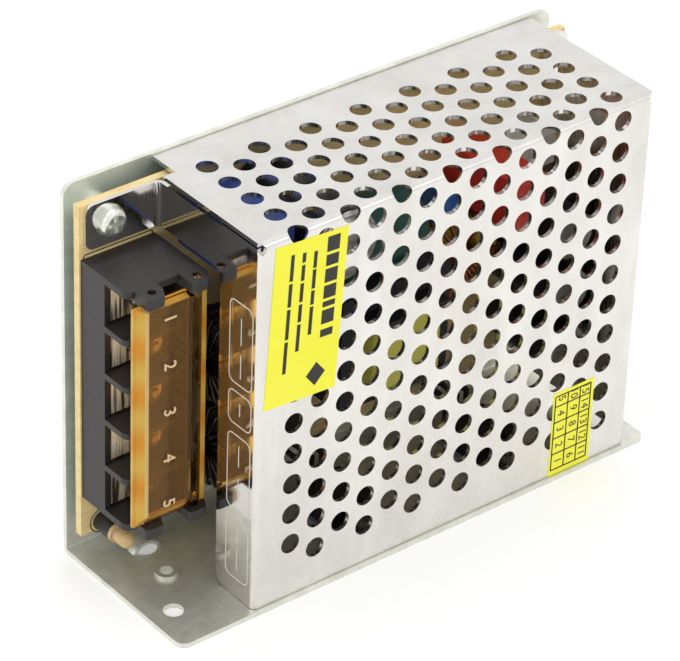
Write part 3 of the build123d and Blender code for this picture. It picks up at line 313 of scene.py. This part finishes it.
# Enamelled winding wire, drawn: a metal core under clear lacquer.
def enamelled_wire(name, colour, light):
    material, tree, shader = new_material(name, colour, 0.30, 0.75, Coat_Weight=0.6, Coat_Roughness=0.12)
    band = stretched_noise(tree, 240.0, (1.0, 1.0, 1.0), 2.0)
    tint(tree, shader, band.outputs["Fac"], colour, light)
    return material


# Sleeved electrolytic can: plastic sleeve up to a level, bare rolled aluminium beyond it on the given side.
def sleeved_can(name, sleeve, light, beyond, axis, level_mm):
    material, tree, shader = new_material(name, sleeve, 0.32, Specular_IOR_Level=0.5)
    bare = beyond(tree, axis, level_mm)
    wave = stretched_noise(tree, 200.0, (1.0, 1.0, 1.0), 3.0)
    skin = colour_mix(tree, wave.outputs["Fac"], sleeve, light)
    tree.links.new(colour_mix(tree, bare, skin, "#c9c6c2"), shader.inputs["Base Color"])
    tree.links.new(bare, shader.inputs["Metallic"])
    return material


# Lacquered axial resistors: pale blue bodies with dark bands, tinned leads beyond the ends.
def banded_resistors():
    material, tree, shader = new_material("resistor_lacquer_banded", "#8fb3bf", 0.35)
    left, right = RESISTOR_ENDS
    local = add(tree, "ShaderNodeMapRange", {"Value": along(tree, "X"), "From Min": left * MM,
                                             "From Max": right * MM}, clamp=False)
    ramp = add(tree, "ShaderNodeValToRGB", {"Fac": local.outputs["Result"]})
    ramp.color_ramp.interpolation = "CONSTANT"
    ramp.color_ramp.elements.remove(ramp.color_ramp.elements[1])
    ramp.color_ramp.elements[0].color = srgb("#c8c8c4")
    bands = [(0.001, "#8fb3bf"), (0.15, "#6b3a1e"), (0.25, "#8fb3bf"), (0.35, "#171717"), (0.45, "#8fb3bf"),
             (0.55, "#a8351d"), (0.65, "#8fb3bf"), (0.8, "#b08d3a"), (0.9, "#8fb3bf"), (0.999, "#c8c8c4")]
    for position, colour in bands:
        ramp.color_ramp.elements.new(position).color = srgb(colour)
    tree.links.new(ramp.outputs["Color"], shader.inputs["Base Color"])
    return material


def even_material(name, colour, roughness, **sockets):
    """Plain surface with faint unevenness in its shine."""
    material, tree, shader = new_material(name, colour, roughness, **sockets)
    haze = stretched_noise(tree, 300.0, (1.0, 1.0, 1.0), 3.0)
    vary_roughness(tree, shader, haze.outputs["Fac"], roughness * 0.85, min(1.0, roughness * 1.15))
    return material


chassis_metal = galvanised_sheet()
cover_metal = rolled_cover()
board_laminate = phenolic_board()
screw_metal = nickel_steel()
clamp_metal = tinned_brass()
block_nylon = moulded_plastic("nylon_black_moulded", "#232021", "#2f2c2c", 0.45, 0.45)
bobbin_nylon = moulded_plastic("phenolic_bobbin_moulded", "#141313", "#201e1d")
lid_amber = amber_lid()
label_vinyl = glossy_skin("vinyl_label_yellow_printed", "#fbf632", "#fdf942", 0.38, 90.0)
label_ink = even_material("screen_ink_black", "#16150f", 0.5)
panel_ink = even_material("screen_ink_pale", "#d8d4cb", 0.5)
board_ink = even_material("screen_ink_board_dark", "#3a3020", 0.6)
digit_amber = even_material("polycarbonate_numeral_hot_stamped", "#e6c79f", 0.45)
film_clear = even_material("polyester_film_calendered", "#f2f7f2", 0.2, Transmission_Weight=0.95, IOR=1.55)
lamp_lens = even_material("epoxy_lens_diffused", "#fbd79c", 0.22, Transmission_Weight=0.4, IOR=1.54)
ring_ferrite = sintered_ferrite()
dark_wire = enamelled_wire("copper_wire_black_enamel", "#171110", "#2c201a")
copper_wire = enamelled_wire("copper_wire_clear_enamel", "#8e4420", "#b4622f")
solder = nickel_steel("solder_tin_reflowed", "#c9c9c6")

CAD_LOOKS = {
    "chassis": chassis_metal,
    "cover": cover_metal,
    "caution_label": label_vinyl,
    "record_label": label_vinyl,
    "insulating_film": film_clear,
    "circuit_board": board_laminate,
    "board_screws": zinc_steel(),
    "terminal_block": block_nylon,
    "terminal_trays": clamp_metal,
    "clamp_plates": clamp_metal,
    "terminal_lid": lid_amber,
    "lamp": lamp_lens,
    "lamp_spacer": block_nylon,
    "trimmer_body": moulded_plastic("trimmer_housing_moulded", "#1c3f86", "#27509c"),
    "trimmer_rotor": moulded_plastic("trimmer_rotor_moulded", "#e2e0d8", "#ecebe4"),
    "line_capacitor": moulded_plastic("film_capacitor_case_moulded", "#4a62b4", "#5a72c2", 0.4),
    "upper_choke_core": ring_ferrite,
    "upper_choke_winding": dark_wire,
    "lower_choke_core": ring_ferrite,
    "lower_choke_winding": dark_wire,
    "input_capacitor": sleeved_can("electrolytic_can_dark_sleeve", "#14161c", "#1d2027",
                                   below, "Y", INPUT_CAN_SLEEVE),
    "bulk_capacitor": sleeved_can("electrolytic_can_green_sleeve", "#0d443b", "#125449",
                                  above, "X", BULK_CAN_SLEEVE),
    # output cans: dark sleeve, partly their own black sleeve and partly painted shade for the shaded inside
    # of the supply
    "output_capacitors": sleeved_can("electrolytic_cans_dark_sleeve_painted_shade", "#191a20", "#22242c",
                                     below, "Y", OUTPUT_CAN_SLEEVE),
    "bridge_rectifier": moulded_plastic("epoxy_bridge_moulded", "#161616", "#222222", 0.5),
    "fuse_glass": even_material("glass_tube_drawn", "#eef3f0", 0.04, Transmission_Weight=1.0, IOR=1.5),
    "fuse_caps": nickel_steel("brass_cap_nickel_plated", "#d0cdc6"),
    "fuse_clips": clamp_metal,
    "thermistor": glossy_skin("silicone_dip_dark_green", "#15301f", "#1f4029", 0.3),
    "safety_capacitor": glossy_skin("epoxy_dip_blue", "#1d5aa6", "#2a69b4", 0.3),
    "controller_chip": moulded_plastic("epoxy_chip_moulded", "#151515", "#1f1f1f", 0.5),
    "optocoupler": moulded_plastic("epoxy_coupler_moulded", "#dcdad2", "#e6e4dd", 0.5),
    "transformer_core": ring_ferrite,
    "transformer_bobbin": bobbin_nylon,
    "transformer_winding": glossy_skin("polyester_tape_yellow_wound", "#efe85c", "#f6f070", 0.3, 120.0),
    "output_choke_core": sintered_ferrite("iron_powder_core_painted", "#b8a02c", "#c6ae38"),
    "output_choke_winding": copper_wire,
    "film_capacitor": glossy_skin("epoxy_dip_red", "#d8382c", "#e44638", 0.25),
    "load_resistor": sintered_ferrite("ceramic_body_cemented", "#d8d6d0", "#e6e4de"),
    "insulating_pads": even_material("silicone_pad_calendered", "#8d98a3", 0.6),
    "power_switch": moulded_plastic("epoxy_switch_moulded", "#141414", "#1e1e1e", 0.45),
    "output_rectifier": moulded_plastic("epoxy_rectifier_moulded", "#171717", "#212121", 0.45),
    "package_screws": screw_metal,
    "resistors": banded_resistors(),
}
for number in range(1, 6):
    CAD_LOOKS[f"terminal_screw_{number}"] = screw_metal


def finished(name, mesh, material, body):
    """Puts a plain mesh in the scene with one material and ties it to a body."""
    piece = bpy.data.objects.new(name, mesh)
    bpy.context.scene.collection.objects.link(piece)
    mesh.materials.clear()
    mesh.materials.append(material)
    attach(piece, body)
    return piece


def mesh_from(build):
    """Plain mesh from a function that fills a bmesh."""
    shape = bmesh.new()
    build(shape)
    bmesh.ops.recalc_face_normals(shape, faces=shape.faces)
    mesh = bpy.data.meshes.new("shape")
    shape.to_mesh(mesh)
    shape.free()
    return mesh


def prism(shape, outline, low, high, place):
    """Closed prism over a flat outline in millimetres, placed by a matrix."""
    bottom = [shape.verts.new(place @ (Vector((x, y, low)) * MM)) for x, y in outline]
    top = [shape.verts.new(place @ (Vector((x, y, high)) * MM)) for x, y in outline]
    shape.faces.new(list(reversed(bottom)))
    shape.faces.new(top)
    for index in range(len(outline)):
        after = (index + 1) % len(outline)
        shape.faces.new((bottom[index], bottom[after], top[after], top[index]))


def box_outline(x0, x1, y0, y1):
    """Plain rectangle."""
    return [(x0, y0), (x1, y0), (x1, y1), (x0, y1)]


def rounded_outline(x0, x1, y0, y1, radius, cut=None):
    """Rounded rectangle; a cut replaces its upper right corner by a slanted line."""
    points = []
    for cx, cy, start in ((x1 - radius, y0 + radius, -90), (x1 - radius, y1 - radius, 0),
                          (x0 + radius, y1 - radius, 90), (x0 + radius, y0 + radius, 180)):
        if cut and start == 0:
            points += [(x1, y1 - cut), (x1 - cut, y1)]
            continue
        for step in range(5):
            turn = math.radians(start + step * 22.5)
            points.append((cx + radius * math.cos(turn), cy + radius * math.sin(turn)))
    return points


def ring_prism(shape, outer, inner, low, high, place):
    """Closed flat ring between two outlines of equal length."""
    rows = []
    for outline in (outer, inner):
        for level in (low, high):
            rows.append([shape.verts.new(place @ (Vector((x, y, level)) * MM)) for x, y in outline])
    outer_low, outer_high, inner_low, inner_high = rows
    count = len(outer)
    for index in range(count):
        after = (index + 1) % count
        shape.faces.new((outer_low[index], outer_low[after], outer_high[after], outer_high[index]))
        shape.faces.new((inner_low[after], inner_low[index], inner_high[index], inner_high[after]))
        shape.faces.new((outer_high[index], outer_high[after], inner_high[after], inner_high[index]))
        shape.faces.new((outer_low[after], outer_low[index], inner_low[index], inner_low[after]))


def facing(origin, right, up):
    """Matrix of a flat print: local X to the right, local Y up, local Z out of the surface."""
    right, up = Vector(right), Vector(up)
    out = right.cross(up)
    turn = Matrix((right, up, out)).transposed().to_4x4()
    return Matrix.Translation(Vector(origin) * MM) @ turn


def digits(text, size_mm, place, lift_mm, thickness_mm):
    """Plain numerals as a closed mesh, centred on a place."""
    curve = bpy.data.curves.new("numerals", "FONT")
    curve.body = text
    curve.size = size_mm * MM
    curve.align_x = "CENTER"
    curve.align_y = "CENTER"
    curve.extrude = thickness_mm * MM / 2
    curve.resolution_u = 3
    carrier = bpy.data.objects.new("numerals", curve)
    bpy.context.scene.collection.objects.link(carrier)
    bpy.context.view_layer.update()
    graph = bpy.context.evaluated_depsgraph_get()
    mesh = bpy.data.meshes.new_from_object(carrier.evaluated_get(graph))
    bpy.data.objects.remove(carrier)
    mesh.transform(place @ Matrix.Translation((0, 0, (lift_mm + thickness_mm / 2) * MM)))
    return mesh


def joined(meshes):
    """One mesh from several."""
    shape = bmesh.new()
    for mesh in meshes:
        shape.from_mesh(mesh)
    bmesh.ops.remove_doubles(shape, verts=shape.verts, dist=0.000002)
    result = bpy.data.meshes.new("joined")
    shape.to_mesh(result)
    shape.free()
    return result


# Print on the tall label: a heading bar, three broken lines and a small square, all turned with it.
caution_place = facing((CAUTION_CENTRE[0], COVER_FRONT - LABEL_THICKNESS, CAUTION_CENTRE[1]),
                       (1, 0, 0), (0, 0, 1)) @ Matrix.Rotation(math.radians(-CAUTION_TURN), 4, "Z")


def caution_print(shape):
    heading = [(12.2, 15.2), (9.4, 11.6), (6.1, 8.8), (2.9, 5.5), (1.2, 2.3), (-2.2, 0.6), (-4.8, -3.3)]
    for low, high in heading:
        prism(shape, box_outline(3.4, 6.1, low, high), 0, INK, caution_place)
    rows = [(0.6, 1.35, (13.2, 9.6, 5.4, 2.2), (9.9, 5.8, 2.6, -3.4)),
            (-1.9, -1.15, (13.6, 11.2, 7.6, 3.4, -0.6), (11.7, 8.1, 3.9, -0.1, -6.0)),
            (-4.4, -3.65, (13.9, 8.2, 3.1, -3.4), (8.7, 3.6, -2.9, -9.8))]
    for left, right, tops, bottoms in rows:
        for top, bottom in zip(tops, bottoms):
            prism(shape, box_outline(left, right, bottom, top), 0, INK, caution_place)
    prism(shape, [(1.0, -12.0), (3.1, -9.6), (5.2, -12.0), (3.1, -14.4)], 0, INK, caution_place)


finished("caution_print", mesh_from(caution_print), label_ink, "body")

# Print on the small label: rules in a grid and plain numerals lying on their side.
record_place = facing((RECORD_LEFT, COVER_FRONT - LABEL_THICKNESS, COVER_BOTTOM), (1, 0, 0), (0, 0, 1))


def record_rules(shape):
    half = 0.14
    left, right = RECORD_COLUMN_LINES[0], RECORD_COLUMN_LINES[-1]
    low, high = RECORD_ROW_LINES[0], RECORD_ROW_LINES[-1]
    for x in RECORD_COLUMN_LINES:
        prism(shape, box_outline(x - half, x + half, low, high), 0, INK, record_place)
    for y in RECORD_ROW_LINES:
        prism(shape, box_outline(left, right, y - half, y + half), 0, INK, record_place)


record_meshes = [mesh_from(record_rules)]
for column in range(len(RECORD_COLUMN_LINES) - 1):
    x = (RECORD_COLUMN_LINES[column] + RECORD_COLUMN_LINES[column + 1]) / 2
    for row, y in enumerate(RECORD_NUMERAL_ROWS, 1):
        spot = record_place @ Matrix.Translation((x * MM, y * MM, 0)) @ Matrix.Rotation(-math.pi / 2, 4, "Z")
        number = str(column * len(RECORD_NUMERAL_ROWS) + row)
        record_meshes.append(digits(number, RECORD_NUMERAL_SIZE, spot, 0, INK))
finished("record_print", joined(record_meshes), label_ink, "body")

# Pale outlines printed on the cover's bright end strip, one for each group of terminals.
strip_place = facing((COVER_LEFT, 0, 0), (0, -1, 0), (0, 0, 1))


def strip_outlines(shape):
    line, round_corner = 0.22, 1.4
    left, right = STRIP_PRINT
    for low, high, cut in ((46.5, 63.5, None), (38.0, 45.0, None), (20.0, 36.0, None), (5.0, 19.0, 2.4)):
        outer = rounded_outline(left, right, low, high, round_corner, cut)
        inner_cut = cut and cut - line / 2
        inner = rounded_outline(left + line, right - line, low + line, high - line, round_corner - line,
                                inner_cut)
        ring_prism(shape, outer, inner, 0, INK, strip_place)
    for low, high in ((55.0, 60.5), (48.0, 53.0), (40.2, 42.8), (29.5, 34.0), (22.2, 27.0), (13.0, 16.0),
                      (7.0, 11.5)):
        prism(shape, box_outline(STRIP_DASH, STRIP_DASH + line, low, high), 0, INK, strip_place)


finished("strip_print", mesh_from(strip_outlines), panel_ink, "body")

# Raised numerals 1 to 5 on the lid, top way first, reading along the supply.
lid_meshes = []
for number, way in enumerate(WAY_CENTRES, 1):
    spot = facing(((LID_PANEL[0] + LID_PANEL[1]) / 2, LID_FACE, way), (0, 0, -1), (1, 0, 0))
    lid_meshes.append(digits(str(number), LID_NUMERAL_SIZE, spot, -LID_NUMERAL_SUNK,
                             LID_NUMERAL_THICKNESS))
finished("lid_numerals", joined(lid_meshes), digit_amber, "lid")


def winding_tree():
    """Turns of round wire laid side by side round a ring, as a Geometry Nodes tree."""
    tree = bpy.data.node_groups.new("wound_ring", "GeometryNodeTree")
    tree.interface.new_socket("Geometry", in_out="OUTPUT", socket_type="NodeSocketGeometry")
    for name in ("Ring radius", "Loop width", "Loop height", "Wire radius", "Corner radius", "Start angle",
                 "Wound angle"):
        tree.interface.new_socket(name, in_out="INPUT", socket_type="NodeSocketFloat")
    tree.interface.new_socket("Turns", in_out="INPUT", socket_type="NodeSocketInt")
    tree.interface.new_socket("Wire", in_out="INPUT", socket_type="NodeSocketMaterial")
    sizes = add(tree, "NodeGroupInput").outputs
    arc = add(tree, "GeometryNodeCurveArc", {"Resolution": 64, "Radius": sizes["Ring radius"],
                                             "Start Angle": sizes["Start angle"],
                                             "Sweep Angle": sizes["Wound angle"]})
    spots = add(tree, "GeometryNodeCurveToPoints", {"Curve": arc.outputs["Curve"], "Count": sizes["Turns"]})
    loop = add(tree, "GeometryNodeCurvePrimitiveQuadrilateral", {"Width": sizes["Loop width"],
                                                                 "Height": sizes["Loop height"]})
    bend = add(tree, "GeometryNodeFilletCurve", {"Curve": loop.outputs["Curve"], "Count": 3,
                                                 "Radius": sizes["Corner radius"]}, mode="POLY")
    round_wire = add(tree, "GeometryNodeCurvePrimitiveCircle", {"Resolution": 8,
                                                                "Radius": sizes["Wire radius"]})
    turn = add(tree, "GeometryNodeCurveToMesh", {"Curve": bend.outputs["Curve"],
                                                 "Profile Curve": round_wire.outputs["Curve"]})
    laid = add(tree, "GeometryNodeInstanceOnPoints", {"Points": spots.outputs["Points"],
                                                      "Instance": turn.outputs["Mesh"],
                                                      "Rotation": spots.outputs["Rotation"]})
    real = add(tree, "GeometryNodeRealizeInstances", {"Geometry": laid.outputs["Instances"]})
    smooth = add(tree, "GeometryNodeSetShadeSmooth", {0: real.outputs["Geometry"]})
    coloured = add(tree, "GeometryNodeSetMaterial", {"Geometry": smooth.outputs[0],
                                                     "Material": sizes["Wire"]})
    add(tree, "NodeGroupOutput", {"Geometry": coloured.outputs["Geometry"]})
    return tree


WOUND_RING = winding_tree()


def wound_half(ring_radius, start_deg, span_deg, turns, wire_radius, wire):
    """One wound stretch of a ring in its own plane, as a plain mesh."""
    carrier = bpy.data.objects.new("winding", bpy.data.meshes.new("winding"))
    bpy.context.scene.collection.objects.link(carrier)
    modifier = carrier.modifiers.new("turns", "NODES")
    modifier.node_group = WOUND_RING
    values = {"Ring radius": ring_radius * MM, "Loop width": 2 * (RING_HALF + RING_WALL + wire_radius) * MM,
              "Loop height": (RING_WIDTH + 2 * (RING_WALL + wire_radius)) * MM,
              "Wire radius": wire_radius * MM, "Corner radius": 0.9 * MM,
              "Start angle": math.radians(start_deg), "Wound angle": math.radians(span_deg),
              "Turns": turns, "Wire": wire}
    for socket in WOUND_RING.interface.items_tree:
        if socket.in_out == "INPUT":
            modifier[socket.identifier] = values[socket.name]
    bpy.context.view_layer.update()
    graph = bpy.context.evaluated_depsgraph_get()
    mesh = bpy.data.meshes.new_from_object(carrier.evaluated_get(graph))
    bpy.data.objects.remove(carrier)
    return mesh


def straight_wire(shape, start, end, radius_mm, sides=10):
    """Closed round wire between two points in millimetres."""
    start, end = Vector(start) * MM, Vector(end) * MM
    run = end - start
    turn = run.to_track_quat("Z", "Y").to_matrix().to_4x4()
    bmesh.ops.create_cone(shape, cap_ends=True, segments=sides, radius1=radius_mm * MM,
                          radius2=radius_mm * MM, depth=run.length,
                          matrix=Matrix.Translation((start + end) / 2) @ turn)


def standing_choke(name, centre_z):
    """Black choke on edge: two wound halves with the axis along X, and leads into the board."""
    upright = Matrix.Translation(Vector((RING_X, RING_Y, centre_z)) * MM)
    upright = upright @ Matrix.Rotation(math.pi / 2, 4, "Y")
    wire_radius = RING_WIRE / 2
    meshes = []
    for middle in (180, 360):
        start = middle - CHOKE_HALF_ANGLE / 2
        half = wound_half(RING_RADIUS, start, CHOKE_HALF_ANGLE, CHOKE_HALF_TURNS, wire_radius, dark_wire)
        half.transform(upright)
        meshes.append(half)
    reach = RING_RADIUS + RING_HALF + RING_WALL + wire_radius

    def leads(shape):
        drop = reach * math.cos(math.radians(CHOKE_LEAD_ANGLE))
        for side in (-1, 1):
            shift = side * reach * math.sin(math.radians(CHOKE_LEAD_ANGLE))
            straight_wire(shape, (RING_X, RING_Y + drop, centre_z + shift),
                          (RING_X, BOARD_FACE, centre_z + shift), wire_radius)

    meshes.append(mesh_from(leads))
    return finished(name, joined(meshes), dark_wire, "body")


for level, centre_z in CHOKE_CENTRES.items():
    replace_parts(standing_choke(f"{level}_choke_turns", centre_z), f"{level}_choke_winding")

flat = Matrix.Translation(Vector((OUTPUT_RING[0], BOARD_FACE - RING_WIDTH / 2 - RING_WALL - RING_WIRE,
                                  OUTPUT_RING[1])) * MM)
flat = flat @ Matrix.Rotation(math.pi / 2, 4, "X")
output_turns = wound_half(OUTPUT_RADIUS, OUTPUT_START_ANGLE, OUTPUT_WOUND_ANGLE, OUTPUT_TURNS,
                          RING_WIRE / 2, copper_wire)
output_turns.transform(flat)
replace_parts(finished("output_choke_turns", output_turns, copper_wire, "body"),
            "output_choke_winding")

# Board print and solder by the terminals: a dark outline, a lamp ring and domed joints.
board_place = facing((0, BOARD_FACE, 0), (1, 0, 0), (0, 0, 1))


def circle_outline(centre, radius):
    """Round outline of 24 points."""
    turns = [math.radians(angle) for angle in range(0, 360, 15)]
    return [(centre[0] + radius * math.cos(turn), centre[1] + radius * math.sin(turn)) for turn in turns]


def board_print(shape):
    line = 0.25
    left, right, low, high = BLOCK_MARK
    ring_prism(shape, rounded_outline(left, right, low, high, 0.6),
               rounded_outline(left + line, right - line, low + line, high - line, 0.35), 0, INK, board_place)
    ring_prism(shape, circle_outline(LAMP_MARK, LAMP_MARK_RADIUS),
               circle_outline(LAMP_MARK, LAMP_MARK_RADIUS - line), 0, INK, board_place)


finished("board_print", mesh_from(board_print), board_ink, "body")


def solder_domes(shape):
    for x, z in SOLDER_JOINTS:
        bmesh.ops.create_uvsphere(shape, u_segments=12, v_segments=6, radius=SOLDER_RADIUS * MM,
                                  matrix=Matrix.Translation(Vector((x, BOARD_FACE - SOLDER_SUNK, z)) * MM))


finished("board_solder", mesh_from(solder_domes), solder, "body")

for name, material in CAD_LOOKS.items():
    mesh = nodes[name].data
    mesh.materials.clear()
    mesh.materials.append(material)


def backdrop_material():
    """White studio paper: seen, mirrored and looked through as white, lit only softly."""
    material = bpy.data.materials.new("studio_paper_white")
    material.use_nodes = True
    tree = material.node_tree
    tree.nodes.clear()
    path = add(tree, "ShaderNodeLightPath").outputs
    seen = maths(tree, "MAXIMUM", path["Is Camera Ray"], path["Is Glossy Ray"])
    seen = maths(tree, "MAXIMUM", seen, path["Is Transmission Ray"])
    paper = add(tree, "ShaderNodeBsdfDiffuse", {"Color": srgb("#e6e6e4")})
    glow = add(tree, "ShaderNodeEmission", {"Color": (1, 1, 1, 1), "Strength": 0.26})
    lit = add(tree, "ShaderNodeAddShader", {0: paper.outputs["BSDF"], 1: glow.outputs["Emission"]})
    mixed = add(tree, "ShaderNodeMixShader", {"Fac": seen, 1: paper.outputs["BSDF"],
                                              2: lit.outputs["Shader"]})
    add(tree, "ShaderNodeOutputMaterial", {"Surface": mixed.outputs["Shader"]})
    return material


def studio_floor():
    """Large flat floor just under the supply."""
    half = 3.0
    mesh = bpy.data.meshes.new("studio_floor")
    mesh.from_pydata([(-half, -half, 0), (half, -half, 0), (half, half, 0), (-half, half, 0)], [],
                     [(0, 1, 2, 3)])
    mesh.materials.append(backdrop_material())
    floor = bpy.data.objects.new("studio_floor", mesh)
    bpy.context.scene.collection.objects.link(floor)


studio_floor()


def soft_light(name, place, aim, width, height, power):
    """Large rectangular lamp turned towards a point."""
    lamp = bpy.data.lights.new(name, "AREA")
    lamp.shape = "RECTANGLE"
    lamp.size, lamp.size_y = width, height
    lamp.energy = power
    holder = bpy.data.objects.new(name, lamp)
    holder.location = place
    holder.rotation_euler = (Vector(aim) - Vector(place)).to_track_quat("-Z", "Y").to_euler()
    bpy.context.scene.collection.objects.link(holder)


soft_light("key_softbox", (0.35, -0.75, 0.75), (0, 0, 0.04), 0.6, 0.6, 0.8)
soft_light("top_softbox", (0.0, 0.2, 0.95), (0, 0, 0.04), 0.8, 0.6, 1.9)
soft_light("side_softbox", (-0.9, -0.1, 0.5), (0, 0, 0.04), 0.5, 0.5, 1.2)

world = bpy.data.worlds.new("studio_world")
bpy.context.scene.world = world
world.use_nodes = True
air = world.node_tree
air.nodes.clear()
air_path = add(air, "ShaderNodeLightPath").outputs
air_seen = maths(air, "MAXIMUM", air_path["Is Camera Ray"], air_path["Is Glossy Ray"])
strength = add(air, "ShaderNodeMapRange", {"Value": air_seen, "To Min": 0.92, "To Max": 1.0})
sky = add(air, "ShaderNodeBackground", {"Color": (1, 1, 1, 1), "Strength": strength.outputs["Result"]})
add(air, "ShaderNodeOutputWorld", {"Surface": sky.outputs["Background"]})

camera_data = bpy.data.cameras.new("camera")
camera_data.sensor_width = 36.0
camera_data.lens = 197.18
camera_data.clip_end = 20.0
camera = bpy.data.objects.new("camera", camera_data)
camera.location = (-0.36331, -0.42934, 0.40786)
camera.rotation_euler = (0.98656, -0.03244, -0.67156)
bpy.context.scene.collection.objects.link(camera)
bpy.context.scene.camera = camera
bpy.context.scene.view_settings.view_transform = "Standard"
